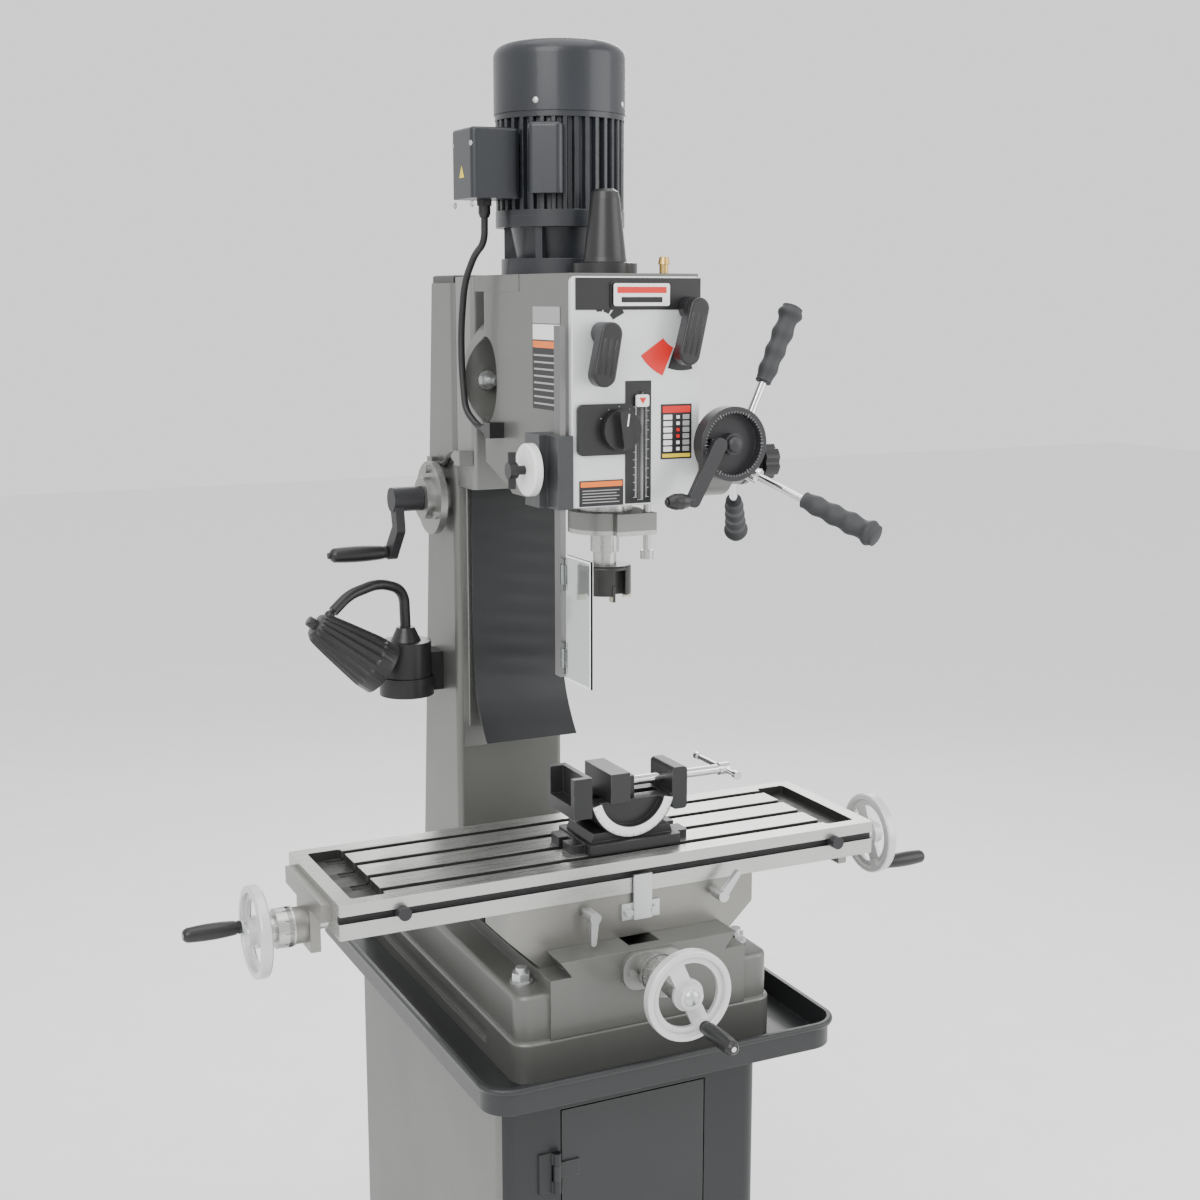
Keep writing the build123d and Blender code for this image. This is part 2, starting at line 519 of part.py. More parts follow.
def x_screw():
    """The long screw: full thread between the brackets, thinner journals at both ends."""
    inner = (TABLE_ENDS[0] + 1, TABLE_ENDS[1] - 1)
    thread = rod("x", (TABLE_Y, X_SCREW_Z), X_SCREW_R, inner)
    outer = (X_BACKS[LEFT] - WHEEL_WIDTH, X_BACKS[RIGHT] + WHEEL_WIDTH)
    return thread + rod("x", (TABLE_Y, X_SCREW_Z), X_SCREW_R - 2, outer)


def x_dial(side):
    start = (TABLE_ENDS[0] if side == LEFT else TABLE_ENDS[1]) + side * (END_BRACKET_THICK + 16.5)
    return dial("x", (TABLE_Y, X_SCREW_Z), start, side, X_SCREW_R - 2, X_BACKS[side])


def dial(axis, at, start, side, bore, wheel_back):
    """A graduated collar and the spacer that carries it out to the handwheel."""
    near = tuple(sorted((start, start + side * DIAL_LENGTH)))
    far = tuple(sorted((start + side * DIAL_LENGTH, wheel_back - side * 0.5)))
    body = rod(axis, at, DIAL_R, near) + rod(axis, at, DIAL_R * 0.66, far)
    return body - rod(axis, at, bore, (min(near[0], far[0]) - 1, max(near[1], far[1]) + 1))


def handwheel(origin, direction, turn, bore):
    """A dished handwheel with a flat web and two openings; origin is the back of its hub."""
    rim_in = WHEEL_R - WHEEL_RIM
    rim = Pos(0, 0, WHEEL_WIDTH / 2) * (Cylinder(WHEEL_R, WHEEL_WIDTH) - Cylinder(rim_in, WHEEL_WIDTH))
    rim = fillet(rim.edges().filter_by(GeomType.CIRCLE), 3)
    web = Pos(0, 0, 7) * Cylinder(rim_in + 1, 6)
    for side in (LEFT, RIGHT):
        opening = Pos(0, 0, 7) * (Cylinder(rim_in - 8, 8) - Cylinder(22, 8))
        opening &= Pos(side * (rim_in + 12), 0, 7) * Box(2 * rim_in, 2 * rim_in * 0.8, 8)
        web -= opening
    hub = Pos(0, 0, WHEEL_WIDTH / 2 + 2) * Cylinder(17, WHEEL_WIDTH + 4)
    boss = Pos(0, GRIP_REACH, WHEEL_WIDTH / 2) * Cylinder(9, WHEEL_WIDTH)
    grip_bolt = Pos(0, GRIP_REACH, WHEEL_WIDTH + 39) * Cylinder(4, 78)
    wheel = rim + web + hub + boss - Pos(0, 0, WHEEL_WIDTH / 2) * Cylinder(bore, 3 * WHEEL_WIDTH) + grip_bolt
    return Plane(origin=origin, x_dir=wheel_x(direction), z_dir=direction).location * Rot(0, 0, turn) * wheel


def wheel_x(direction):
    """The wheel's zero direction: along Y on a wheel that faces X, along X on a wheel that faces Y."""
    return (0, 1, 0) if abs(direction[0]) > 0.5 else (1, 0, 0)


def wheel_grip(origin, direction, turn):
    """The turning grip of a handwheel, on the wheel's grip bolt."""
    shape = Pos(0, GRIP_REACH, WHEEL_WIDTH + 0.5) * grip((0, 0, 0), (0, 0, 1), GRIP_LENGTH, GRIP_R, 4)
    return Plane(origin=origin, x_dir=wheel_x(direction), z_dir=direction).location * Rot(0, 0, turn) * shape


def x_wheel(side, turn):
    return handwheel(X_CENTRES[side], (side, 0, 0), turn, X_SCREW_R - 2)


LEFT_TURN, RIGHT_TURN, FRONT_TURN = -80.0, 152.0, 205.0
X_CENTRES = {side: (X_BACKS[side], TABLE_Y, X_SCREW_Z) for side in (LEFT, RIGHT)}
Y_BEARING = 22.0
Y_DIAL_START = BASE_FRONT - Y_BEARING - 0.5
Y_BACK = BASE_FRONT - 99.0


def y_bracket():
    """The bearing flange on the base's front for the cross screw."""
    face = BASE_FRONT
    half_height = WAY_Z - Y_SCREW_Z - 2
    flange = plate(around(0, 46), (face - 10, face), around(Y_SCREW_Z, half_height), half_height - 4)
    flange += rod("y", (0, Y_SCREW_Z), 26, (face - Y_BEARING, face - 10))
    for x in (-34, 34):
        flange += rod("y", (x, Y_SCREW_Z), 6, (face - 16, face - 10))
    return flange - rod("y", (0, Y_SCREW_Z), Y_SCREW_R - 2 + RUNNING, (face - 40, face + 1))


def y_screw():
    thread = rod("y", (0, Y_SCREW_Z), Y_SCREW_R, (BASE_FRONT + 2, WAY_BACK - 22))
    return thread + rod("y", (0, Y_SCREW_Z), Y_SCREW_R - 2, (Y_BACK - WHEEL_WIDTH, BASE_FRONT + 2))


# ---------------------------------------------------------------------------------------------- head slide
def head_carriage():
    """The slide on the column ways, with the round face that the head tilts on."""
    gap = SLIDE_GAP
    low, high = SWIVEL_Z + CARRIAGE_LOW, SWIVEL_Z + CARRIAGE_HIGH
    front, back = SWIVEL_FACE + 18, COLUMN_FRONT - 3
    half = COLUMN_WAY_HALF + CARRIAGE_WALL
    body = slab((-half, half), (front, back), (low, high), 8)
    ways = [
        (-COLUMN_WAY_ROOT - 2 * gap, COLUMN_FRONT),
        (-COLUMN_WAY_HALF - 2 * gap, COLUMN_FRONT - COLUMN_WAY_THICK - gap),
        (COLUMN_WAY_HALF + 2 * gap, COLUMN_FRONT - COLUMN_WAY_THICK - gap),
        (COLUMN_WAY_ROOT + 2 * gap, COLUMN_FRONT),
    ]
    body -= prism("z", ways, (low, high))
    body += rod("y", (0, SWIVEL_Z), SWIVEL_R, (SWIVEL_FACE + gap, front + 1))
    body += rod("y", (0, SWIVEL_Z), 20, (SWIVEL_FACE - 12, SWIVEL_FACE + 2))
    nut_z = around(SWIVEL_Z + Z_NUT_RISE, 35)
    nut = block(around(0, Z_NUT_HALF), (COLUMN_FRONT - COLUMN_WAY_THICK - 10, Z_SCREW_Y + 20), nut_z)
    body = body + nut - rod("z", (0, Z_SCREW_Y), Z_SCREW_R + RUNNING, (nut_z[0] - 1, nut_z[1] + 1))
    return body + gland_block(SUPPLY_GLAND) + gland(SUPPLY_MOUTH, (0, 1, 0), LEAD_R)


# ---------------------------------------------------------------------------------------------- head
def head_housing():
    low, high = HEAD_Z
    front, back = HEAD_FRONT, HEAD_BACK
    side = [(front, low), (front, high), (back, high), (back, low + 38)]
    side += [(-20, low + 34), (-100, low + 6), (-110, low)]
    body = prism("x", side, (-HEAD_HALF, HEAD_HALF))
    upright = [edge for edge in body.edges().filter_by(Axis.Z) if edge.center().Y > back - 1]
    body = fillet(upright, 14)
    body += rod("y", (0, SWIVEL_Z), HEAD_FLANGE_R, (back - 1, SWIVEL_FACE))
    body += block((-HEAD_HALF - 1, HEAD_HALF + 1), (-140, back + 22), (high - HEAD_TOP_THICK, high))
    wall = HEAD_WALL
    body -= block((-HEAD_HALF + wall, HEAD_HALF - wall), (front, -96), GEAR_SPACE)
    body -= block((-HEAD_HALF + wall + 14, HEAD_HALF - wall - 14), (-97, -22), GEAR_SPACE)
    for edge in (LEFT, RIGHT):
        x = tuple(sorted((edge * (HEAD_HALF - 32), edge * HEAD_FLANGE_R)))
        body -= oval("x", (-16, SWIVEL_Z + 2), 41, 62, x)
        body -= rod("y", (edge * STUD_CIRCLE, SWIVEL_Z), 6, (10, SWIVEL_FACE))
    body -= rod("y", (0, SWIVEL_Z), 20 + RUNNING, (SWIVEL_FACE - 13, SWIVEL_FACE))
    body -= rod("z", (0, SPINDLE_Y), QUILL_R + RUNNING, (low, GEAR_SPACE[0]))
    body -= rod("z", (0, SPINDLE_Y), SPLINE_R + 12, (GEAR_SPACE[1], high))
    body -= rod("z", (0, MOTOR_Y), MOTOR_SHAFT_R + 6, (GEAR_SPACE[1], high))
    pinion = FEED_PINION_R + 0.5
    body -= rod("x", (FEED_Y, FEED_Z), pinion, (-pinion - 14, HEAD_HALF))
    body += ring("z", (0, IDLER_Y), 14, IDLER_SHAFT_R + RUNNING, (GEAR_SPACE[0] - 1, GEAR_SPACE[0] + 20))
    return body + feed_housing()


STUD_CIRCLE = 78.0
GEAR_SPACE = (SWIVEL_Z + 40, SWIVEL_Z + HEAD_HIGH - 14)
PINION_PITCH = GEAR_MODULE * PINION_TEETH / 2
IDLER_PITCH = GEAR_MODULE * IDLER_TEETH / 2
IDLER_SHAFT_R = 8.0
IDLER_Y = MOTOR_Y - PINION_PITCH - IDLER_PITCH


def oval(axis, at, half_u, half_v, ends):
    """An elliptical plug across an axis, for a pocket."""
    plane = {
        "x": Plane(origin=(ends[0], *at), x_dir=(0, 1, 0), z_dir=(1, 0, 0)),
        "y": Plane(origin=(at[0], ends[1], at[1]), x_dir=(1, 0, 0), z_dir=(0, -1, 0)),
    }[axis]
    return extrude(plane * Ellipse(half_u, half_v), ends[1] - ends[0])


def swivel_studs():
    """The studs and nuts that clamp the head at its tilt."""
    studs = []
    for side in (LEFT, RIGHT):
        stud = rod("y", (side * STUD_CIRCLE, SWIVEL_Z), 6, (-18, SWIVEL_FACE))
        place = Plane(origin=(side * STUD_CIRCLE, 21, SWIVEL_Z), z_dir=(0, -1, 0))
        nut = place.location * extrude(RegularPolygon(12, 6), 12)
        washer = rod("y", (side * STUD_CIRCLE, SWIVEL_Z), 14, (21, 23.5))
        studs.append(stud + nut + washer)
    return studs


def head_panel():
    """The sheet-metal front panel over the gearbox."""
    low, high = HEAD_Z
    panel = plate((-HEAD_HALF, HEAD_HALF), (PANEL_Y, HEAD_FRONT), (low, high - 4), 7)
    front_edges = panel.edges().group_by(Axis.Y)[0]
    panel = fillet(front_edges, 3)
    panel -= block(DEPTH_SLOT_X, (PANEL_Y, HEAD_FRONT), DEPTH_SLOT_Z)
    for x, z, radius in (SWITCH_PLACE, LEFT_LEVER, RIGHT_LEVER):
        panel -= rod("y", (x, z), radius + RUNNING, (PANEL_Y, HEAD_FRONT))
    return panel


DEPTH_SLOT_X = (1.0, 10.0)
DEPTH_SLOT_Z = (SWIVEL_Z - 146, SWIVEL_Z - 2)
SWITCH_PLACE = (-29.0, SWIVEL_Z - 51, 6.0)
LEFT_LEVER = (-53.0, SWIVEL_Z + 74, 7.0)
RIGHT_LEVER = (75.0, SWIVEL_Z + 106, 7.0)


def name_plate():
    band = block((-HEAD_HALF + 6, HEAD_HALF - 1), (PANEL_Y - 1, PANEL_Y), (SWIVEL_Z + 104, SWIVEL_Z + 145))
    band -= rod("y", (RIGHT_LEVER[0], RIGHT_LEVER[1]), RIGHT_LEVER[2] + 1, (PANEL_Y - 1, PANEL_Y))
    return band + plate((-40, 48), (PANEL_Y - 3, PANEL_Y - 1), (SWIVEL_Z + 106, SWIVEL_Z + 141), 4)


def panel_plates():
    """The depth rule, the speed chart, the notice plate and the two lever dials, all without lettering."""
    y = (PANEL_Y - 1, PANEL_Y)
    rule = block((-17, 21), y, (SWIVEL_Z - 150, SWIVEL_Z + 12)) - block(DEPTH_SLOT_X, y, DEPTH_SLOT_Z)
    chart = block((36, 82), y, (SWIVEL_Z - 93, SWIVEL_Z - 20))
    notice = block((-84, -20), y, (SWIVEL_Z - 151, SWIVEL_Z - 117))
    return group(rule, chart, notice)


def depth_pointer():
    """The pointer that the quill carries in the slot of the depth rule."""
    z = DEPTH_SLOT_Z[1] - 12
    tag = plate((-4, 15), (PANEL_Y - 7, PANEL_Y - 4), (z - 8, z + 8), 3)
    return tag + block(around(sum(DEPTH_SLOT_X) / 2, 3.5), (PANEL_Y - 4, HEAD_FRONT - 0.5), (z - 4.5, z + 4.5))


def switch_plate():
    plate_body = plate((-88, -8), (PANEL_Y - 6, PANEL_Y), (SWIVEL_Z - 84, SWIVEL_Z - 17), 8)
    return plate_body - rod("y", SWITCH_PLACE[:2], SWITCH_PLACE[2] + RUNNING, (PANEL_Y - 6, PANEL_Y))


def switch_knob():
    x, z, radius = SWITCH_PLACE
    disc = rod("y", (x, z), 27, (PANEL_Y - 18, PANEL_Y - 7))
    disc += rod("y", (x, z), radius, (PANEL_Y - 7, HEAD_FRONT))
    bar = plate((x - 7, x + 7), (PANEL_Y - 30, PANEL_Y - 17), (z - 25, z + 25), 6)
    return disc + Pos(x, 0, z) * Rot(0, -8, 0) * Pos(-x, 0, -z) * bar


def gear_lever(place, tip, waist):
    """A gear-change lever: a round hub on the panel and a thick tapered handle that hangs from it."""
    x, z, radius = place
    hub = rod("y", (x, z), 15, (PANEL_Y - 20, PANEL_Y - 2))
    hub += rod("y", (x, z), radius, (PANEL_Y - 2, HEAD_FRONT + 12))
    handle = limb("y", (x, z), tip, waist, waist + 1, (PANEL_Y - 36, PANEL_Y - 16))
    return hub + fillet(handle.edges().group_by(Axis.Y)[0], 3)


def gear(teeth, bore, width):
    """A spur gear with straight-sided teeth that leave working backlash, centred on the origin."""
    pitch = GEAR_MODULE * teeth / 2
    levels = ((pitch - 1.15 * GEAR_MODULE, 0.31), (pitch, 0.22), (pitch + 0.8 * GEAR_MODULE, 0.12))
    points = []
    step = 2 * pi / teeth
    for tooth in range(teeth):
        middle = tooth * step
        for side, order in ((-1, levels), (1, tuple(reversed(levels)))):
            for radius, share in order:
                turn = middle + side * share * step
                points.append((radius * cos(turn), radius * sin(turn)))
    wheel = extrude(make_face(Polyline(*points, close=True)), width)
    return wheel - Pos(0, 0, width / 2) * Cylinder(bore, width)


GEAR_Z = SWIVEL_Z + 78.0


def spindle_gear():
    wheel = gear(SPINDLE_TEETH, SPLINE_R + RUNNING, GEAR_WIDTH)
    sleeve = Pos(0, 0, GEAR_WIDTH + 10) * (Cylinder(22, 20) - Cylinder(SPLINE_R + RUNNING, 20))
    return Pos(0, SPINDLE_Y, GEAR_Z) * Rot(0, 0, 90) * (wheel + sleeve)


def idler_gear():
    """The intermediate gear on its shaft between the motor and the spindle."""
    wheel = gear(IDLER_TEETH, IDLER_SHAFT_R, GEAR_WIDTH)
    shaft = rod("z", (0, 0), IDLER_SHAFT_R, (GEAR_SPACE[0] + 0.5 - GEAR_Z, GEAR_SPACE[1] - 0.5 - GEAR_Z))
    return Pos(0, IDLER_Y, GEAR_Z) * Rot(0, 0, 90 + 180 / IDLER_TEETH) * (wheel + shaft)


def motor_rotor():
    """The motor's shaft with its pinion below, rotor core and cooling fan."""
    low = MOTOR_LEVELS
    pinion = Pos(0, MOTOR_Y, GEAR_Z) * Rot(0, 0, 90) * gear(PINION_TEETH, 1, GEAR_WIDTH)
    shaft = rod("z", (0, MOTOR_Y), MOTOR_SHAFT_R, (GEAR_Z, low[4] + 30))
    core = rod("z", (0, MOTOR_Y), ROTOR_R - 1, (low[2] + 25, low[4] - 25))
    fan = rod("z", (0, MOTOR_Y), 22, (low[4] + 14, low[4] + 44))
    for index in range(6):
        blade = block((0, 74), (-1.5, 1.5), (low[4] + 16, low[4] + 42))
        fan += Pos(0, MOTOR_Y, 0) * Rot(0, 0, index * 60) * blade
    return pinion + shaft + core + fan


MOTOR_LEVELS = ends_from(SWIVEL_Z + HEAD_HIGH, 22, 43, 15, 139, 96)


def motor_mount():
    """The black adaptor between head and motor: foot flange, neck and motor flange."""
    foot, neck, flange, body, _, _ = MOTOR_LEVELS
    adaptor = rod("z", (0, MOTOR_Y), 84, (foot, neck)) + rod("z", (0, MOTOR_Y), 62, (neck, flange), 70)
    adaptor += rod("z", (0, MOTOR_Y), MOTOR_R, (flange, body))
    for index in range(4):
        rib = block((58, 84), (-5, 5), (neck, flange))
        adaptor += Pos(0, MOTOR_Y, 0) * Rot(0, 0, 45 + 90 * index) * rib
    adaptor -= rod("z", (0, MOTOR_Y), 46, (foot, body))
    return adaptor - rod("z", (0, SPINDLE_Y), DRAWBAR_PLATE_R + 1, (foot, neck))


DRAWBAR_PLATE_R = 43.5


def motor_body():
    """The finned motor casing."""
    low, high = MOTOR_LEVELS[3], MOTOR_LEVELS[4]
    fins = 36
    root, crest = MOTOR_R - 9, MOTOR_R - 1
    points = []
    for fin in range(fins):
        middle = 2 * pi * fin / fins
        for radius, share in ((root, -0.3), (crest, -0.16), (crest, 0.16), (root, 0.3)):
            turn = middle + share * 2 * pi / fins
            points.append((radius * cos(turn), radius * sin(turn)))
    body = Pos(0, MOTOR_Y, low + 8) * extrude(make_face(Polyline(*points, close=True)), high - low - 16)
    body += rod("z", (0, MOTOR_Y), MOTOR_R, (low, low + 8)) + rod("z", (0, MOTOR_Y), MOTOR_R, (high - 8, high))
    bore = rod("z", (0, MOTOR_Y), ROTOR_R, (low + 10, high - 10))
    return body - bore - rod("z", (0, MOTOR_Y), MOTOR_SHAFT_R + RUNNING, (low, high))


def fan_cover():
    low, high = MOTOR_LEVELS[4], MOTOR_LEVELS[5]
    outer = rod("z", (0, MOTOR_Y), MOTOR_R + 1.5, (low, high))
    outer = fillet(outer.edges().group_by(Axis.Z)[-1], 20)
    inner = rod("z", (0, MOTOR_Y), MOTOR_R - 1, (low, high - 2.5))
    inner = fillet(inner.edges().group_by(Axis.Z)[-1], 18)
    cover = outer - inner
    for index in range(12):
        slot = block((26, 62), (-3, 3), (high - 4, high + 1))
        cover -= Pos(0, MOTOR_Y, 0) * Rot(0, 0, index * 30) * slot
    return cover


def terminal_box():
    low = MOTOR_LEVELS[3]
    x, y = (-MOTOR_R - 62, -MOTOR_R + 9), (MOTOR_Y - 52, MOTOR_Y + 26)
    box = slab(x, y, (low + 22, low + 116), 8)
    box = fillet(box.edges().group_by(Axis.Z)[-1], 5)
    inner = block((x[0] + 4, x[1] - 4), (y[0] + 4, y[1] - 4), (low + 26, low + 112))
    box -= inner
    box -= rod("z", (0, MOTOR_Y), MOTOR_R + 0.2, (low, low + 140))
    return box - rod("z", TERMINAL_GLAND[:2], 8, (low + 20, low + 28))


TERMINAL_GLAND = (-MOTOR_R - 24, MOTOR_Y, MOTOR_LEVELS[3] + 22)


def capacitor_cover():
    low = MOTOR_LEVELS[3]
    cover = slab((MOTOR_R - 4, MOTOR_R + 24), (-24, 24), (low + 28, low + 122), 9)
    cover = fillet(cover.edges().group_by(Axis.Z)[-1], 6)
    cover = Pos(0, MOTOR_Y, 0) * Rot(0, 0, 235) * cover
    return cover - rod("z", (0, MOTOR_Y), MOTOR_R + 0.2, (low, low + 140))


def gland(origin, direction, radius):
    """A cable gland: hexagon, dome nut and the bore for the cable."""
    body = extrude(RegularPolygon(radius + 6, 6), 8)
    body += Pos(0, 0, 13) * Cylinder(radius + 3.5, 10) + Pos(0, 0, 21) * Cone(radius + 3.5, radius + 1.5, 6)
    body -= Pos(0, 0, 12) * Cylinder(radius, 24)
    return Plane(origin=origin, z_dir=direction).location * body


LEAD_R = 5.0
GLAND_LENGTH = 24.0
HEAD_GLAND = (-HEAD_HALF, -60.0, SWIVEL_Z - 66)
HEAD_GLAND_MOUTH = (HEAD_GLAND[0] - 11, HEAD_GLAND[1], HEAD_GLAND[2])
SUPPLY_GLAND = (-COLUMN_WAY_HALF - CARRIAGE_WALL, 80.0, SWIVEL_Z - 118)
SUPPLY_MOUTH = (SUPPLY_GLAND[0] - 11, SUPPLY_GLAND[1], SUPPLY_GLAND[2])
COLUMN_CLIP = (-COLUMN_HALF - CRANK_STAND_OFF / 2, 196.0, CRANK_Z + 53)


def head_glands():
    side = gland(HEAD_GLAND_MOUTH, (0, 1, 0), LEAD_R) + gland_block(HEAD_GLAND)
    return group(side, gland(TERMINAL_GLAND, (0, 0, -1), LEAD_R))


def gland_block(place):
    """The little housing that turns a gland on the head's side to face backwards."""
    x, y, z = place
    outer = block((x - 22, x), (y - 22, y), around(z, 11))
    return outer - block((x - 18, x - 1), (y - 18, y - 1), around(z, 8))


def column_clip():
    """The clamp that holds the supply lead's end to the column, behind the crank's flange."""
    x, y, z = COLUMN_CLIP
    clip = block((x - 6.5, -COLUMN_HALF), (y, y + 20), around(z, 9))
    return clip - rod("y", (x, z), LEAD_R, (y, y + 20))


def motor_lead():
    """The cable from the switch wiring in the head up to the motor's terminal box."""
    x, y, z = HEAD_GLAND_MOUTH
    up = TERMINAL_GLAND[2] - GLAND_LENGTH
    outside = -HEAD_FLANGE_R - LEAD_R - 2
    points = [
        (x, y + GLAND_LENGTH, z),
        (x, y + GLAND_LENGTH + 22, z),
        (outside, 6, z + 23),
        (outside - 2, 14, z + 83),
        (outside - 2, 14, z + 143),
        (outside - 1, 0, z + 208),
        (outside, -38, z + 245),
        (TERMINAL_GLAND[0], TERMINAL_GLAND[1] + 1, up - 34),
        (TERMINAL_GLAND[0], TERMINAL_GLAND[1], up),
    ]
    return cord(points, LEAD_R, "motor_lead")


def supply_lead():
    """The cable that loops from the head slide to the column behind the crank's flange."""
    x, y, z = SUPPLY_MOUTH
    end_x, end_y, end_z = COLUMN_CLIP
    points = [
        (x, y + GLAND_LENGTH, z),
        (x, y + GLAND_LENGTH + 22, z),
        (end_x, end_y - 43, end_z),
        (end_x, end_y, end_z),
    ]
    return cord(points, LEAD_R, "supply_lead")


def cord(points, radius, name):
    """A round cable along straight runs joined by tangent arcs as large as the runs allow."""
    vectors = [Vector(*point) for point in points]
    radii = []
    for before, corner, after in zip(vectors, vectors[1:], vectors[2:]):
        turn = radians((corner - before).get_angle(after - corner))
        shorter = min((corner - before).length, (after - corner).length)
        radii.append(0.45 * shorter / tan(turn / 2))
    path = FilletPolyline(*points, radius=radii)
    print(name, "length", round(path.length), "radii", [round(value) for value in radii])
    start = Plane(origin=path @ 0, z_dir=path % 0)
    return sweep(start * Circle(radius - 0.1), path=path)


# ------------------------------------------------------------------------------------------ quill and spindle
QUILL_Z = (HEAD_Z[0] + 4, GEAR_SPACE[0] - 6)
NOSE_Z = ends_from(HEAD_Z[0], -16, -30, -8, -20, -18, -41, -8)


def quill():
    """The sliding quill and its rack side; the spindle turns inside it."""
    body = rod("z", (0, SPINDLE_Y), QUILL_R, (NOSE_Z[1], QUILL_Z[1] - QUILL_TRAVEL / 2))
    return body - rod("z", (0, SPINDLE_Y), SPINDLE_R + RUNNING, (NOSE_Z[1] - 1, QUILL_Z[1]))


def depth_collar():
    """The clamp collar under the quill, with the depth rod that rises beside it."""
    body = rod("z", (0, SPINDLE_Y), QUILL_R + 14, (NOSE_Z[2], NOSE_Z[1]))
    body += block((-12, 48), (SPINDLE_Y - QUILL_R - 26, SPINDLE_Y), (NOSE_Z[2], NOSE_Z[1]))
    body -= rod("z", (0, SPINDLE_Y), SPINDLE_R + 4, (NOSE_Z[2], NOSE_Z[1]))
    rod_place = (38, SPINDLE_Y - QUILL_R - 16)
    body += rod("z", rod_place, 5, (NOSE_Z[2] - 24, HEAD_Z[0] - 2))
    return body + rod("z", rod_place, 9, (NOSE_Z[2] - 34, NOSE_Z[2] - 22))


def spindle():
    body = rod("z", (0, SPINDLE_Y), SPINDLE_R, (NOSE_Z[4], GEAR_SPACE[0] - 30))
    return body + rod("z", (0, SPINDLE_Y), SPLINE_R, (GEAR_SPACE[0] - 30, GEAR_Z + GEAR_WIDTH + 26))


def arbor():
    """The tool holder in the spindle nose."""
    return rod("z", (0, SPINDLE_Y), 16, (NOSE_Z[5], NOSE_Z[4]))


def face_mill():
    """The face milling cutter with four indexable inserts."""
    body = rod("z", (0, SPINDLE_Y), 36.5, (NOSE_Z[6], NOSE_Z[5]))
    body = fillet(body.edges().group_by(Axis.Z)[-1], 4)
    for index in range(4):
        pocket = block((20, 40), (-2, 16), (NOSE_Z[6], NOSE_Z[5] - 6))
        insert = block((26, 38), (-6, -2), (NOSE_Z[7], NOSE_Z[6] + 14))
        turn = Pos(0, SPINDLE_Y, 0) * Rot(0, 0, 90 * index)
        body = body - turn * pocket + turn * insert
    return body


def drawbar_cover():
    """The cap over the drawbar, on its round plate."""
    foot = SWIVEL_Z + HEAD_HIGH
    profile = [(0, 0), (DRAWBAR_PLATE_R, 0), (DRAWBAR_PLATE_R, 14), (30, 16), (28.5, 22)]
    profile += [(20, 100), (18, 108), (12, 112), (0, 112)]
    hollow = [(0, 0), (26, 0), (25, 18), (16, 100), (0, 104)]
    cap = lathe(profile, (0, SPINDLE_Y, foot), (0, 0, 1))
    return cap - lathe(hollow, (0, SPINDLE_Y, foot - 0.01), (0, 0, 1))


def oil_cup():
    place = (55, SPINDLE_Y - 66)
    foot = SWIVEL_Z + HEAD_HIGH
    return rod("z", place, 6, (foot, foot + 12)) + rod("z", place, 8, (foot + 12, foot + 22), 6)


# ---------------------------------------------------------------------------------------------- quill feed
FEED_HOUSING = (HEAD_HALF, 152.0)
HUB_X = 171.0


def feed_housing():
    """The worm housing on the head's right side."""
    x = FEED_HOUSING
    body = rod("x", (FEED_Y, FEED_Z), 44, x)
    body += block((WORM_X - 22, x[1]), (-312, FEED_Y + 20), around(WORM_Z, 20))
    body += rod("y", (WORM_X, WORM_Z), 19, (-322, -300))
    body -= rod("x", (FEED_Y, FEED_Z), 33, (x[0], x[1] - 8))
    body -= rod("x", (FEED_Y, FEED_Z), FEED_SHAFT_R + RUNNING, (x[0], x[1] + 1))
    return body - rod("y", (WORM_X, WORM_Z), WORM_R + 1, (-323, FEED_Y + 12))


WORM_R = 8.0
WORM_WHEEL_R = WORM_RISE - WORM_R - 0.6


def feed_hub():
    """The pinion shaft with its hub and the three coned spokes."""
    shaft = rod("x", (FEED_Y, FEED_Z), FEED_SHAFT_R, (-8, HUB_X + 40))
    shaft += rod("x", (FEED_Y, FEED_Z), FEED_PINION_R - 0.5, (-22, 22))
    shaft += rod("x", (FEED_Y, FEED_Z), WORM_WHEEL_R, (WORM_X - 8, WORM_X + 8))
    hub = rod("x", (FEED_Y, FEED_Z), 30, (FEED_HOUSING[1] + 1, HUB_X + 28))
    for index in range(3):
        start, end = spoke_point(index, 10), spoke_point(index, SPOKE_REACH - 12)
        length = (end - start).length
        place = Plane(origin=start, z_dir=end - start)
        hub += place.location * (Pos(0, 0, length / 2) * Cylinder(SPOKE_R, length))
        hub += place.location * (Pos(0, 0, 18) * Cylinder(12, 36))
    return shaft + hub


def spoke_point(index, reach):
    turn = radians(SPOKE_TURN - 120 * index)
    return Vector(HUB_X + SPOKE_SLOPE * reach, FEED_Y + reach * sin(turn), FEED_Z + reach * cos(turn))


def spoke_grips():
    """Three rubber grips with finger swells."""
    grips = []
    for index in range(3):
        start, end = spoke_point(index, GRIP_START), spoke_point(index, SPOKE_REACH)
        length = (end - start).length
        profile = [(SPOKE_R, 0), (11.5, 0)]
        for swell in range(3):
            foot = (0.06 + swell * 0.26) * length
            profile += [(11 + swell * 1.4, foot), (14 + swell * 1.4, foot + 0.13 * length)]
        profile += [(15, 0.84 * length), (19, 0.97 * length), (16, length), (0, length)]
        profile += [(0, 0.9 * length), (SPOKE_R, 0.9 * length)]
        grips.append(lathe(profile, start, end - start))
    return group(*grips)


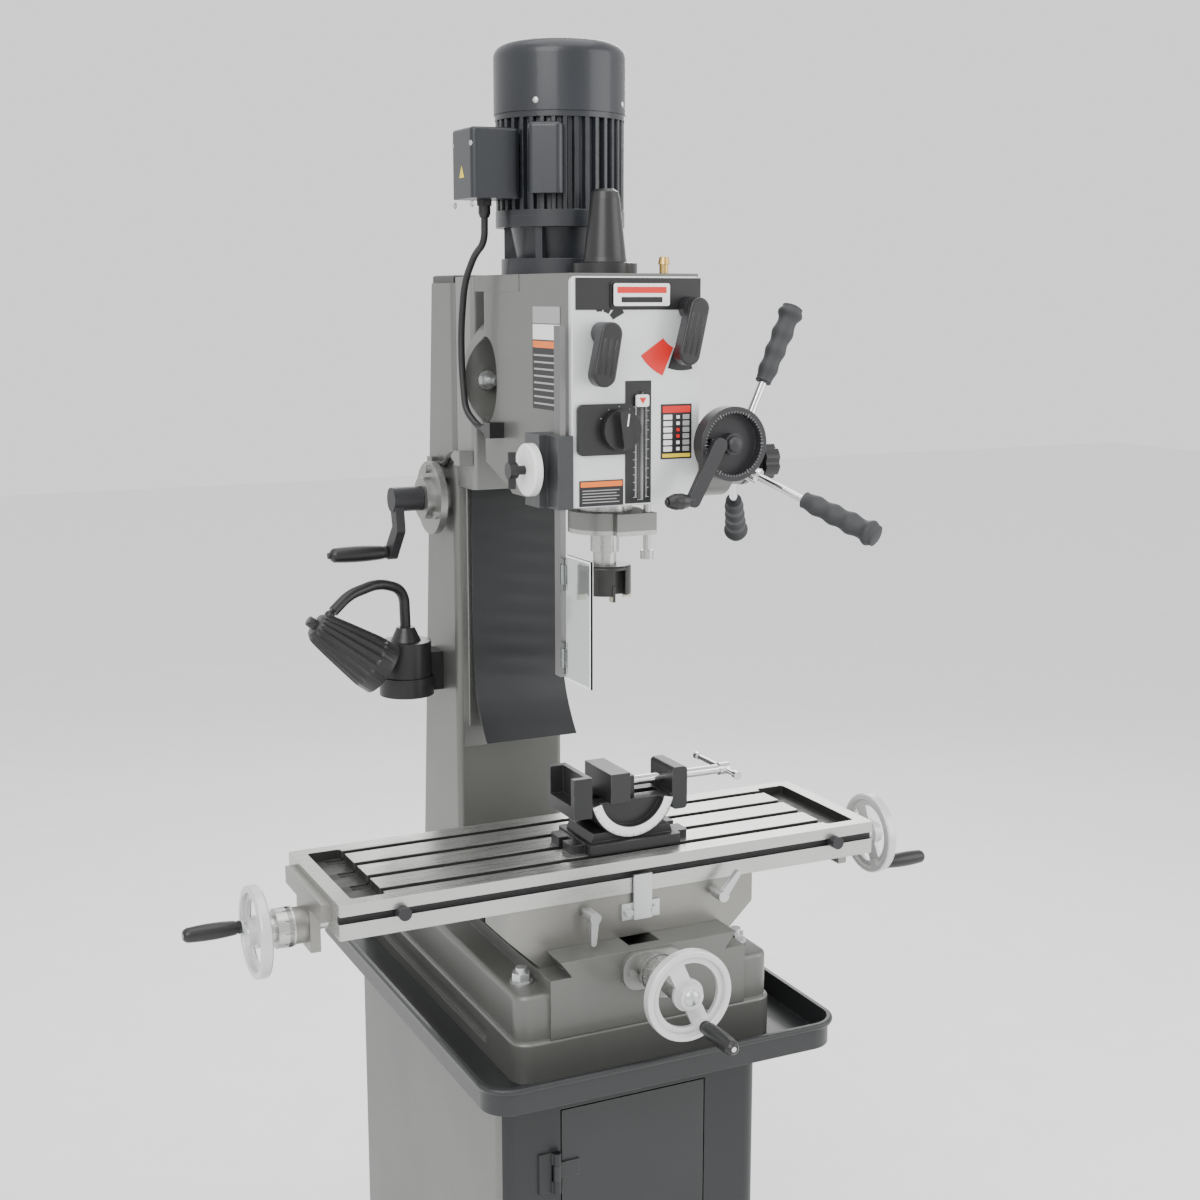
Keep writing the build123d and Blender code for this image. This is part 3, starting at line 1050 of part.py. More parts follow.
def clutch_knob():
    """The star knob at the end of the feed shaft that engages the fine feed."""
    body = rod("x", (FEED_Y, FEED_Z), 25, (HUB_X + 44, HUB_X + 66))
    for index in range(6):
        turn = radians(60 * index)
        body -= rod("x", (FEED_Y + 30 * cos(turn), FEED_Z + 30 * sin(turn)), 8, (HUB_X + 43, HUB_X + 67))
    body += rod("x", (FEED_Y, FEED_Z), 14, (HUB_X + 29, HUB_X + 44))
    return body - rod("x", (FEED_Y, FEED_Z), FEED_SHAFT_R + RUNNING, (HUB_X + 28, HUB_X + 41))


FINE_Y = (-352.0, -330.0)
FINE_ARM = ((WORM_X - 26, WORM_Z), (WORM_X - 64, WORM_Z - 72))


def fine_feed_wheel():
    """The worm shaft with its dished wheel and the bent crank arm on it."""
    at = (WORM_X, WORM_Z)
    wheel = rod("y", at, 50, FINE_Y) - rod("y", at, 42, (FINE_Y[0], FINE_Y[1] - 6)) + rod("y", at, 14, FINE_Y)
    wheel += rod("y", at, WORM_R - 2, (FINE_Y[1], FEED_Y + 6))
    wheel += rod("y", at, WORM_R, (-300, FEED_Y + 10))
    arm = limb("y", *FINE_ARM, 10, 9, (FINE_Y[0] - 9, FINE_Y[0] + 1))
    lug = block(around(FINE_ARM[0][0], 8), (FINE_Y[0] - 1, FINE_Y[1]), around(FINE_ARM[0][1], 8))
    bolt = rod("x", (FINE_Y[0] - 6, FINE_ARM[1][1]), 4, (FINE_ARM[1][0] - 42, FINE_ARM[1][0]))
    return wheel + arm + lug + bolt


def fine_feed_grip():
    return grip((FINE_ARM[1][0] - 9.5, FINE_Y[0] - 6, FINE_ARM[1][1]), (-1, 0, 0), 30, 11, 4)


# ---------------------------------------------------------------------------------------------- chip guard
GUARD_X, GUARD_Y = -HEAD_HALF - 12.0, -300.0
GUARD_Z = (SWIVEL_Z - 377, SWIVEL_Z + 84)
SHIELD_HEIGHT, SHIELD_DEPTH = 166.0, 81.0
SHIELD_PIN = (GUARD_X, GUARD_Y - 15)
KNUCKLES = (GUARD_Z[0] + 14, GUARD_Z[0] + SHIELD_HEIGHT - 40)


def guard_bracket():
    """The block on the head's left side that carries the guard rail."""
    body = block((-HEAD_HALF - 34, -HEAD_HALF), (-282, -236), (SWIVEL_Z - 153, SWIVEL_Z - 57))
    body += block((-HEAD_HALF - 22, -HEAD_HALF), (GUARD_Y - 16, -282), (SWIVEL_Z - 153, SWIVEL_Z - 57))
    return body - block(around(GUARD_X, 4.1), around(GUARD_Y, 9.1), (SWIVEL_Z - 160, SWIVEL_Z - 50))


def guard_disc():
    """The pale switch disc on the guard's block."""
    disc = rod("x", (-262, SWIVEL_Z - 104), 35, (-HEAD_HALF - 46, -HEAD_HALF - 34))
    return fillet(disc.edges().group_by(Axis.X)[0], 3)


def guard_knob():
    """The tee knob that clamps the guard rail."""
    x, at = -HEAD_HALF - 46, (-262, SWIVEL_Z - 104)
    knob = rod("x", at, 6, (x - 14, x - 0.3)) + rod("x", at, 11, (x - 24, x - 12))
    return knob + rod("z", (x - 18, -262), 5.5, (SWIVEL_Z - 128, SWIVEL_Z - 80))


def guard_rail():
    return block(around(GUARD_X, 4), around(GUARD_Y, 9), GUARD_Z)


def guard_shield():
    """The clear shield, hinged on the rail's lower end by two knuckles."""
    low, back = GUARD_Z[0], SHIELD_PIN[1] - 6
    shield = block(around(GUARD_X, 1.5), (SHIELD_PIN[1] - SHIELD_DEPTH, back), (low, low + SHIELD_HEIGHT))
    for z in KNUCKLES:
        shield += block(around(GUARD_X, 1.5), (back, SHIELD_PIN[1] - 3), (z, z + 26))
        shield += rod("z", SHIELD_PIN, 5, (z, z + 26))
        shield -= rod("z", SHIELD_PIN, 2.5 + RUNNING, (z, z + 26))
    return shield


def guard_hinge():
    """The pins and lugs that join the shield to the rail."""
    lugs = []
    for z in KNUCKLES:
        lug = rod("z", SHIELD_PIN, 2.5, (z - 8, z + 34))
        for foot in (z - 8, z + 26.5):
            lug += block(around(GUARD_X, 4), (GUARD_Y - 18, GUARD_Y - 9), (foot, foot + 7.5))
        lugs.append(lug)
    return group(*lugs)


# ---------------------------------------------------------------------------------------------- work lamp
LAMP_X, LAMP_Y, LAMP_Z = -COLUMN_HALF - 64.0, 190.0, PAD_Z + 298.0


def lamp_bracket():
    arm = block((-COLUMN_HALF - 21, -COLUMN_HALF), around(LAMP_Y + 26, 22), (LAMP_Z, LAMP_Z + 62))
    cup = rod("z", (LAMP_X, LAMP_Y), 43, (LAMP_Z, LAMP_Z + 30))
    bridge = block((LAMP_X, -COLUMN_HALF - 20), around(LAMP_Y + 16, 16), (LAMP_Z + 4, LAMP_Z + 26))
    return arm + cup + bridge


NECK = [
    (LAMP_X, LAMP_Y, LAMP_Z + 100),
    (LAMP_X - 2, LAMP_Y - 1, LAMP_Z + 168),
    (LAMP_X - 46, LAMP_Y - 14, LAMP_Z + 184),
    (LAMP_X - 102, LAMP_Y - 34, LAMP_Z + 172),
    (LAMP_X - 130, LAMP_Y - 43, LAMP_Z + 150),
]
NECK_R = 8.5
NECK_END = Vector(*NECK[-1])
LAMP_BALL_R = 8.0
LAMP_BALL = NECK_END + (NECK_END - Vector(*NECK[-2])).normalized() * (LAMP_BALL_R + 0.5)
LAMP_TAIL = Vector(LAMP_X - 162, LAMP_Y - 50, LAMP_Z + 134)
LAMP_MOUTH = Vector(LAMP_X - 58, LAMP_Y - 58, LAMP_Z + 56)


def lamp_arm():
    """The swivelling drum with the gooseneck."""
    drum = rod("z", (LAMP_X, LAMP_Y), 40, (LAMP_Z + 30.3, LAMP_Z + 86))
    drum += rod("z", (LAMP_X, LAMP_Y), 24, (LAMP_Z + 86, LAMP_Z + 108), 14)
    return drum + cord(NECK, NECK_R, "lamp neck")


def lamp_head():
    """The conical reflector housing of the lamp, open at its mouth, with the ball stem at its tail."""
    axis = LAMP_MOUTH - LAMP_TAIL
    length = axis.length
    profile = [(0, -12), (8, -12), (9, 0), (20, 2), (27, 14), (42, length * 0.72), (42, length), (38, length),
               (37, length * 0.74), (20, 22), (0, 20)]
    stem = LAMP_TAIL - LAMP_BALL
    neck = Plane(origin=LAMP_BALL, z_dir=stem).location * Pos(0, 0, stem.length / 2) * Cylinder(5, stem.length)
    ball = Pos(*LAMP_BALL) * Sphere(LAMP_BALL_R)
    return lathe(profile, LAMP_TAIL, axis) + neck + ball


def lamp_bulb():
    axis = (LAMP_MOUTH - LAMP_TAIL).normalized()
    length = (LAMP_MOUTH - LAMP_TAIL).length
    profile = [(0, 20), (12, 20), (13, 40), (26, length * 0.68), (22, length * 0.82), (0, length * 0.88)]
    return lathe(profile, LAMP_TAIL, axis)


# ---------------------------------------------------------------------------------------------- tilting vise
VISE_X, VISE_Y = 20.0, (-275.0, -165.0)
VISE_PIVOT_Z = TOP_Z + 82.0
VISE_CHEEK = 27.0
CRADLE_R = 66.0


def vise_base():
    """The base with ears, and two cheeks hollowed for the tilting body."""
    low = TOP_Z
    base = slab((VISE_X - 72, VISE_X + 72), VISE_Y, (low, low + 15), 6)
    for side in (LEFT, RIGHT):
        x = tuple(sorted((VISE_X + side * 70, VISE_X + side * 92)))
        ear = slab(x, (VISE_Y[0] + 18, VISE_Y[1] - 18), (low, low + 13), 5)
        slot_x = tuple(sorted((VISE_X + side * 78, VISE_X + side * 93)))
        hole = block(slot_x, around(VISE_MIDDLE, 7), (low, low + 14))
        base += ear - hole
    cheek_z = low + VISE_CHEEK
    outline = [(VISE_X - 66, low + 10), (VISE_X - 60, cheek_z), (VISE_X + 60, cheek_z), (VISE_X + 66, low + 10)]
    base += prism("y", outline, (VISE_Y[0] + 14, VISE_Y[1] - 14))
    return base - rod("y", (VISE_X, VISE_PIVOT_Z), CRADLE_R + 0.3, (VISE_Y[0], VISE_Y[1]))


def vise_body():
    """The tilting bed: a half drum in the cradle, the fixed jaw and the screw's end block."""
    z = VISE_PIVOT_Z
    drum = rod("y", (VISE_X, z), CRADLE_R, (VISE_Y[0] + 10, VISE_Y[1] - 10))
    drum &= block(around(VISE_X, CRADLE_R), VISE_Y, (z - CRADLE_R, z - 14))
    drum -= rod("y", (VISE_X, z), CRADLE_R - 16, (VISE_Y[0], VISE_Y[0] + 22))
    bed = block((VISE_X - 92, VISE_X + 92), (VISE_Y[0] + 22, VISE_Y[1] - 22), (z - 30, z - 14))
    jaw = block((VISE_X - 92, VISE_X - 64), (VISE_Y[0] + 10, VISE_Y[1] - 10), (z - 30, z + 28))
    jaw -= block((VISE_X - 93, VISE_X - 72), (VISE_Y[0] + 20, VISE_Y[1] - 20), (z - 12, z + 34))
    end = plate((VISE_X + 68, VISE_X + 92), (VISE_MIDDLE - 34, VISE_MIDDLE + 34), (z - 38, z + 24), 6)
    bore = rod("x", (VISE_MIDDLE, VISE_SCREW_Z), VISE_SCREW_R + RUNNING, (VISE_X + 60, VISE_X + 93))
    body = drum + bed + jaw + end - bore
    return body - block((VISE_X - 62, VISE_X + 60), around(VISE_MIDDLE, 9), (z - 44, z - 14))


VISE_MIDDLE = (VISE_Y[0] + VISE_Y[1]) / 2
VISE_SCREW_Z = VISE_PIVOT_Z + 2.0
VISE_SCREW_R = 7.0


def vise_jaw():
    """The sliding jaw with its steel face and the tongue in the bed's slot."""
    z = VISE_PIVOT_Z
    jaw = block((VISE_X - 34, VISE_X - 4), (VISE_Y[0] + 12, VISE_Y[1] - 12), (z - 14 + SLIDE_GAP, z + 28))
    jaw += block((VISE_X - 4, VISE_X + 14), (VISE_MIDDLE - 20, VISE_MIDDLE + 20), (z - 14 + SLIDE_GAP, z + 16))
    jaw += block((VISE_X - 30, VISE_X + 10), around(VISE_MIDDLE, 8.8), (z - 30, z - 13))
    return jaw - rod("x", (VISE_MIDDLE, VISE_SCREW_Z), VISE_SCREW_R + RUNNING, (VISE_X - 10, VISE_X + 15))


def vise_screw():
    end = VISE_X + 178
    body = rod("x", (VISE_MIDDLE, VISE_SCREW_Z), VISE_SCREW_R, (VISE_X - 9, end - 12))
    body += rod("x", (VISE_MIDDLE, VISE_SCREW_Z), 9, (end - 16, end))
    return body - rod("y", (end - 8, VISE_SCREW_Z), 4 + RUNNING, around(VISE_MIDDLE, 12))


def vise_handle():
    """The sliding bar through the screw's head, with a knob at each end."""
    x = VISE_X + 170
    bar = rod("y", (x, VISE_SCREW_Z), 4, around(VISE_MIDDLE + 18, 56))
    for end in (-40, 76):
        bar += rod("y", (x, VISE_SCREW_Z), 6, around(VISE_MIDDLE + end, 4))
    return bar


# ---------------------------------------------------------------------------------------------- all the nodes
def nodes():
    """Every node's name and the shape it holds."""
    yield "stand_cabinet", stand_cabinet()
    yield "stand_door", stand_door()
    yield "chip_tray", chip_tray()
    yield "base_casting", base_casting()
    yield "base_studs", base_studs()
    yield "column", group(column(), column_cap(), column_clip())
    yield "way_cover", way_cover()
    yield "screw_brackets", group(y_bracket(), z_crank_bracket())
    yield "z_crank", z_crank()
    yield "z_crank_grip", z_crank_grip()
    yield "z_screw", z_screw()
    yield "saddle", saddle()
    yield "saddle_fittings", group(stop_bracket(), screw_nut("x"), screw_nut("y"))
    yield "table_lock_left", lock_lever(LOCK_PLACES[0])
    yield "table_lock_right", lock_lever(LOCK_PLACES[1])
    yield "table", table()
    yield "table_stop_left", table_stop(STOP_PLACES[0])
    yield "table_stop_right", table_stop(STOP_PLACES[1])
    yield "end_brackets", group(end_bracket(LEFT), end_bracket(RIGHT))
    yield "x_screw", group(x_screw(), x_dial(LEFT), x_dial(RIGHT))
    yield "x_handwheels", group(x_wheel(LEFT, LEFT_TURN), x_wheel(RIGHT, RIGHT_TURN))
    yield "x_grip_left", wheel_grip(X_CENTRES[LEFT], (LEFT, 0, 0), LEFT_TURN)
    yield "x_grip_right", wheel_grip(X_CENTRES[RIGHT], (RIGHT, 0, 0), RIGHT_TURN)
    yield "y_screw", group(y_screw(), dial("y", (0, Y_SCREW_Z), Y_DIAL_START, -1, Y_SCREW_R - 2, Y_BACK))
    yield "y_wheel", handwheel((0, Y_BACK, Y_SCREW_Z), (0, -1, 0), FRONT_TURN, Y_SCREW_R - 2)
    yield "y_grip", wheel_grip((0, Y_BACK, Y_SCREW_Z), (0, -1, 0), FRONT_TURN)
    yield "head_carriage", head_carriage()
    yield "head_housing", head_housing()
    yield "head_fittings", group(*swivel_studs(), oil_cup(), head_glands())
    yield "head_panel", head_panel()
    yield "panel_plates", group(name_plate(), panel_plates(), switch_plate())
    yield "switch_knob", switch_knob()
    yield "gear_lever_left", gear_lever(LEFT_LEVER, (-63, SWIVEL_Z + 22), 15)
    yield "gear_lever_right", gear_lever(RIGHT_LEVER, (61, SWIVEL_Z + 47), 14)
    yield "spindle_gear", spindle_gear()
    yield "idler_gear", idler_gear()
    yield "motor_rotor", motor_rotor()
    yield "motor_body", group(motor_mount(), motor_body())
    yield "motor_covers", group(fan_cover(), terminal_box(), capacitor_cover())
    yield "motor_lead", motor_lead()
    yield "supply_lead", supply_lead()
    yield "quill", group(quill(), depth_collar(), depth_pointer())
    yield "spindle", spindle() + arbor()
    yield "face_mill", face_mill()
    yield "drawbar_cover", drawbar_cover()
    yield "feed_hub", group(feed_hub(), spoke_grips())
    yield "clutch_knob", clutch_knob()
    yield "fine_feed_wheel", fine_feed_wheel()
    yield "fine_feed_grip", fine_feed_grip()
    yield "guard_bracket", group(guard_bracket(), guard_disc())
    yield "guard_knob", guard_knob()
    yield "guard_rail", guard_rail() + guard_hinge()
    yield "guard_shield", guard_shield()
    yield "lamp_bracket", lamp_bracket()
    yield "lamp_arm", lamp_arm()
    yield "lamp_head", group(lamp_head(), lamp_bulb())
    yield "vise_base", vise_base()
    yield "vise_body", vise_body()
    yield "vise_jaw", vise_jaw()
    yield "vise_screw", group(vise_screw(), vise_handle())


def main():
    os.makedirs("parts", exist_ok=True)
    for name, shape in nodes():
        export_step(shape, f"parts/{name}.step")


main()
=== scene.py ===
"""Looks of a vertical milling and drilling machine on its cabinet stand.

Every class below is one sub-assembly. Its build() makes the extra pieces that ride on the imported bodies, and its
dress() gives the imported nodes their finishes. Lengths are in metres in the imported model's frame: +Z is up, the
operator stands on the -Y side and +X is the operator's right.
"""
import math
from dataclasses import dataclass, field, replace
from enum import Enum

import bpy
from mathutils import Matrix, Vector


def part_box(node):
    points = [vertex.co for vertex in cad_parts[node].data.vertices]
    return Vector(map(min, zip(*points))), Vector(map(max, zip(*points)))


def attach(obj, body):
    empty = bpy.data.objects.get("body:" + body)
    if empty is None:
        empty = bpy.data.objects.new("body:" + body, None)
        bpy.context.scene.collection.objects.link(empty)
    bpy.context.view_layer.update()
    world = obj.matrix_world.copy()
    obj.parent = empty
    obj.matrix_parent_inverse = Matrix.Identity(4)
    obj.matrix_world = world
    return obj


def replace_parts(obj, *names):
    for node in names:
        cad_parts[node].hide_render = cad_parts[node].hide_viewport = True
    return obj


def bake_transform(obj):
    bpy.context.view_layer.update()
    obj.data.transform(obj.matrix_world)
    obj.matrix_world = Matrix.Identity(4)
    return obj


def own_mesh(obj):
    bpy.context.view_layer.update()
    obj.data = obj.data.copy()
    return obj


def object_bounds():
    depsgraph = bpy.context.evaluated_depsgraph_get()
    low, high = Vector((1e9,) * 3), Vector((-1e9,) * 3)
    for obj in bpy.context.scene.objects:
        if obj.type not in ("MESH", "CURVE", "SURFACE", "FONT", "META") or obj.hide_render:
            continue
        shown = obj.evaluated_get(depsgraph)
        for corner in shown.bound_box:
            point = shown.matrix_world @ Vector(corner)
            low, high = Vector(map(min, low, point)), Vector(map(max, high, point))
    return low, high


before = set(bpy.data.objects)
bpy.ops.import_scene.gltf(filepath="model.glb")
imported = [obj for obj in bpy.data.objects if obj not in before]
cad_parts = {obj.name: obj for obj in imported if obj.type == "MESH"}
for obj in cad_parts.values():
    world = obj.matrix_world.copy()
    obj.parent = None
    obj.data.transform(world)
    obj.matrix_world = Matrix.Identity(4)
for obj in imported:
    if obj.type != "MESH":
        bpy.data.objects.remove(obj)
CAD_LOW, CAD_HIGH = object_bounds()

Colour = tuple[float, float, float]
Point = tuple[float, float, float]

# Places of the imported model's features that its boxes don't give.
PRINT_FACE, PLATE_FACE = -0.3106, -0.3112  # Y of prints on the front panel, and of the plates on it
SWITCH_FACE, POINTER_FACE = -0.3164, -0.3176  # Y of the switch plate and of the depth pointer
PRINT_THICK = 0.0004
SWITCH = (-0.029, 1.632)  # (x, z), as for the levers below
LEFT_LEVER, LEFT_TIP = (-0.053, 1.757), (-0.063, 1.705)
RIGHT_LEVER, RIGHT_TIP = (0.075, 1.789), (0.061, 1.730)
RIGHT_FAN = (0.067, 1.769)  # centre of the right lever's sectors
LONG_SCREW = (-0.19, 0.974)  # (y, z)
CROSS_SCREW = (0.0, 0.898)  # (x, z)
FINE_FEED = (0.125, 1.610)  # (x, z)
VISE_TILT, VISE_FACE = (0.020, 1.119), -0.2652  # (x, z) of the tilt axis, Y of the body's front
LAMP_TAIL, LAMP_MOUTH = (-0.316, 0.140, 1.316), (-0.212, 0.132, 1.238)
LAMP_BALL, LAMP_BALL_R = (-0.290485, 0.144915, 1.326906), 0.008
MOTOR_Y, COVER_REACH, COVER_SCREW_Z = -0.068, 0.0935, 2.066

# Shares and scales that all the finishes have in common.
PATCH_SCALE, PATCH_SHARE = 7.0, 0.65
ROUGH_SWING = 0.07
EDGE_GAIN, WEAR_SCALE = 6.0, 60.0
RELIEF, COAT_ROUGH, CLEAR_IOR = 0.35, 0.12, 1.46


class Axis(Enum):
    """A row axis as a unit vector."""

    X = (1.0, 0.0, 0.0)
    Y = (0.0, 1.0, 0.0)
    Z = (0.0, 0.0, 1.0)

    @property
    def vector(self) -> Vector:
        """The axis as a vector."""
        return Vector(self.value)


# ------------------------------------------------------------------------------------------------- finishes
@dataclass(frozen=True)
class Zone:
    """A box, in the row frame at rest, inside which a finish changes.

    Attributes:
        low: lowest corner.
        high: highest corner.
        base: colour inside.
        rough: roughness inside.
        metal: metallic share inside.
    """

    low: Point
    high: Point
    base: Colour
    rough: float = 0.5
    metal: float = 0.0


@dataclass(frozen=True)
class Finish:
    """A surface finish made only of procedural nodes.

    Attributes:
        name: material name.
        base: main colour, linear.
        rough: mean roughness.
        metal: metallic share.
        vary: share by which the colour changes over large patches.
        grain: scale of the fine texture, per metre.
        bump: height of the fine texture.
        stretch: how far the fine texture is drawn out along each axis.
        wear: share of the wear that shows on edges.
        worn: colour of worn edges.
        edge: radius of the softened edges, in metres.
        coat: clear coat share.
        clear: transmission share.
        zones: boxes with another colour.
    """

    name: str
    base: Colour
    rough: float = 0.5
    metal: float = 0.0
    vary: float = 0.1
    grain: float = 400.0
    bump: float = 0.1
    stretch: Point = (1.0, 1.0, 1.0)
    wear: float = 0.0
    worn: Colour = (0.45, 0.45, 0.44)
    edge: float = 0.0008
    coat: float = 0.0
    clear: float = 0.0
    zones: tuple[Zone, ...] = ()

    def material(self) -> bpy.types.Material:
        """Builds the material once and hands out the same one afterwards.

        Returns:
            The material with this finish's node tree.
        """
        label = "look_" + self.name
        known = bpy.data.materials.get(label)
        if known is not None:
            return known
        made = bpy.data.materials.new(label)
        made.use_nodes = True
        made.node_tree.nodes.clear()
        FinishTree(self, made.node_tree).build()
        made.diffuse_color = (*self.base, 1.0)
        return made


@dataclass
class FinishTree:
    """Writes a finish into a material's node tree.

    Attributes:
        finish: the finish to write.
        tree: the node tree that receives it.
    """

    finish: Finish
    tree: bpy.types.NodeTree

    def node(self, kind: str, **settings: object) -> bpy.types.Node:
        """Adds a node.

        Args:
            kind: node type.
            settings: node properties.

        Returns:
            The new node.
        """
        made = self.tree.nodes.new(kind)
        for key, value in settings.items():
            setattr(made, key, value)
        return made

    def feed(self, node: bpy.types.Node, socket: int | str, value: object) -> None:
        """Links a socket to another node's output, or sets its value.

        Args:
            node: node that receives it.
            socket: input name or index.
            value: an output socket, or a plain value.
        """
        if isinstance(value, bpy.types.NodeSocket):
            self.tree.links.new(value, node.inputs[socket])
        else:
            node.inputs[socket].default_value = value

    def maths(
        self, operation: str, first: object, second: object = 0.0, clamp: bool = False
    ) -> bpy.types.NodeSocket:
        """Adds a maths node.

        Args:
            operation: maths operation.
            first: first value or output.
            second: second value or output.
            clamp: whether the result is held between 0 and 1.

        Returns:
            The result's output.
        """
        made = self.node("ShaderNodeMath", operation=operation, use_clamp=clamp)
        self.feed(made, 0, first)
        self.feed(made, 1, second)
        return made.outputs[0]

    def noise(self, where: bpy.types.NodeSocket, scale: float, detail: float) -> bpy.types.NodeSocket:
        """Adds a noise texture.

        Args:
            where: coordinates.
            scale: scale per metre.
            detail: octaves.

        Returns:
            The noise value's output.
        """
        made = self.node("ShaderNodeTexNoise")
        self.feed(made, "Vector", where)
        self.feed(made, "Scale", scale)
        self.feed(made, "Detail", detail)
        return made.outputs["Fac"]

    def spread(self, value: bpy.types.NodeSocket, low: float, high: float) -> bpy.types.NodeSocket:
        """Maps a noise value onto a range.

        Args:
            value: noise output.
            low: result where the noise is low.
            high: result where the noise is high.

        Returns:
            The mapped output.
        """
        made = self.node("ShaderNodeMapRange")
        for socket, level in zip(("From Min", "From Max", "To Min", "To Max"), (0.3, 0.7, low, high)):
            self.feed(made, socket, level)
        self.feed(made, "Value", value)
        return made.outputs["Result"]

    def blend(self, share: object, first: object, second: object) -> bpy.types.NodeSocket:
        """Mixes two colours.

        Args:
            share: share of the second.
            first: first colour or output.
            second: second colour or output.

        Returns:
            The mixed colour's output.
        """
        made = self.node("ShaderNodeMix", data_type="RGBA")
        self.feed(made, 0, share)
        self.feed(made, 6, first)
        self.feed(made, 7, second)
        return made.outputs[2]

    def inside(self, where: bpy.types.NodeSocket, zone: Zone) -> bpy.types.NodeSocket:
        """Finds whether a point lies in a zone's box.

        Args:
            where: coordinates.
            zone: the zone.

        Returns:
            An output that is 1 inside and 0 outside.
        """
        low, high = Vector(zone.low), Vector(zone.high)
        off = self.node("ShaderNodeVectorMath", operation="SUBTRACT")
        self.feed(off, 0, where)
        self.feed(off, 1, (low + high) / 2)
        size = self.node("ShaderNodeVectorMath", operation="ABSOLUTE")
        self.feed(size, 0, off.outputs[0])
        over = self.node("ShaderNodeVectorMath", operation="SUBTRACT")
        self.feed(over, 0, size.outputs[0])
        self.feed(over, 1, (high - low) / 2)
        parts = self.node("ShaderNodeSeparateXYZ")
        self.feed(parts, 0, over.outputs[0])
        across = self.maths("MAXIMUM", parts.outputs[0], parts.outputs[1])
        furthest = self.maths("MAXIMUM", across, parts.outputs[2])
        return self.maths("LESS_THAN", furthest, 0.0)

    def build(self) -> None:
        """Writes the whole tree."""
        finish = self.finish
        where = self.node("ShaderNodeTexCoord").outputs["Object"]
        drawn = self.node("ShaderNodeMapping")
        self.feed(drawn, "Vector", where)
        self.feed(drawn, "Scale", finish.stretch)
        fine = self.noise(drawn.outputs[0], finish.grain, 4.0)
        patches = self.noise(where, PATCH_SCALE, 5.0)
        shader = self.node("ShaderNodeBsdfPrincipled")
        large = self.maths("MULTIPLY", patches, PATCH_SHARE)
        mottle = self.maths("ADD", large, self.maths("MULTIPLY", fine, 1 - PATCH_SHARE))
        darker = (*[c * (1 - finish.vary) for c in finish.base], 1.0)
        lighter = (*[min(1.0, c * (1 + finish.vary)) for c in finish.base], 1.0)
        colour = self.blend(self.spread(mottle, 0, 1), darker, lighter)
        rough = self.spread(fine, max(0.02, finish.rough - ROUGH_SWING), min(1.0, finish.rough + ROUGH_SWING))
        metal = finish.metal
        for zone in finish.zones:
            mask = self.inside(where, zone)
            colour = self.blend(mask, colour, (*zone.base, 1.0))
            change = self.maths("MULTIPLY", mask, zone.rough - finish.rough)
            rough = self.maths("ADD", rough, change, clamp=True)
            if zone.metal != finish.metal:
                change = self.maths("MULTIPLY", mask, zone.metal - finish.metal)
                metal = self.maths("ADD", metal, change, clamp=True)
        eased = self.node("ShaderNodeBevel", samples=3)
        self.feed(eased, "Radius", finish.edge)
        if finish.wear > 0:
            facing = self.node("ShaderNodeVectorMath", operation="DOT_PRODUCT")
            self.feed(facing, 0, eased.outputs[0])
            self.feed(facing, 1, self.node("ShaderNodeNewGeometry").outputs["True Normal"])
            turned = self.maths("SUBTRACT", 1.0, facing.outputs["Value"])
            corner = self.maths("MULTIPLY", turned, EDGE_GAIN, clamp=True)
            patchy = self.spread(self.noise(where, WEAR_SCALE, 6.0), 0.0, 1.0)
            rubbed = self.maths("MULTIPLY", corner, patchy, clamp=True)
            colour = self.blend(self.maths("MULTIPLY", rubbed, finish.wear), colour, (*finish.worn, 1.0))
        relief = self.node("ShaderNodeBump")
        self.feed(relief, "Strength", RELIEF)
        self.feed(relief, "Distance", finish.bump * 0.001)
        self.feed(relief, "Height", fine)
        self.feed(relief, "Normal", eased.outputs[0])
        for socket, value in (("Base Color", colour), ("Roughness", rough), ("Metallic", metal)):
            self.feed(shader, socket, value)
        self.feed(shader, "Normal", relief.outputs[0])
        self.feed(shader, "Coat Weight", finish.coat)
        self.feed(shader, "Coat Roughness", COAT_ROUGH)
        self.feed(shader, "Transmission Weight", finish.clear)
        self.feed(shader, "IOR", CLEAR_IOR)
        out = self.node("ShaderNodeOutputMaterial")
        self.feed(out, "Surface", shader.outputs[0])


CAST = Finish(
    "cast_grey", (0.135, 0.137, 0.128), 0.4, 0.45, 0.08, 900, 0.16, wear=0.25, edge=0.0022, coat=0.25
)
SLIDE = replace(CAST, name="slide_grey", base=(0.19, 0.193, 0.185))
STAND = Finish("stand_grey", (0.15, 0.153, 0.147), 0.5, 0.3, 0.08, 700, 0.22, wear=0.15, edge=0.002)
SHEET_BLACK = Finish(
    "sheet_black", (0.012, 0.013, 0.014), 0.42, 0.0, 0.25, 650, 0.22, wear=0.3, edge=0.0015, coat=0.15
)
MOTOR_BLACK = Finish(
    "motor_black", (0.014, 0.016, 0.02), 0.38, 0.1, 0.2, 600, 0.3, wear=0.25, edge=0.0014, coat=0.2
)
GROUND = Finish(
    "ground_steel", (0.5, 0.5, 0.485), 0.3, 0.9, 0.07, 500, 0.08, (0.03, 1, 1), wear=0.3, edge=0.0009
)
MILLED = Finish(
    "milled_iron", (0.27, 0.268, 0.25), 0.38, 0.85, 0.1, 600, 0.12, (1, 0.08, 1), wear=0.3, edge=0.0009
)
TURNED = Finish("turned_steel", (0.5, 0.5, 0.49), 0.28, 0.95, 0.06, 900, 0.06, (0.1, 1, 1), edge=0.0006)
CHROME = Finish("bright_chrome", (0.72, 0.72, 0.73), 0.12, 1.0, 0.03, 300, 0.02, edge=0.0005)
ZINC = Finish("zinc_steel", (0.55, 0.56, 0.56), 0.33, 0.9, 0.1, 500, 0.08, edge=0.0005)
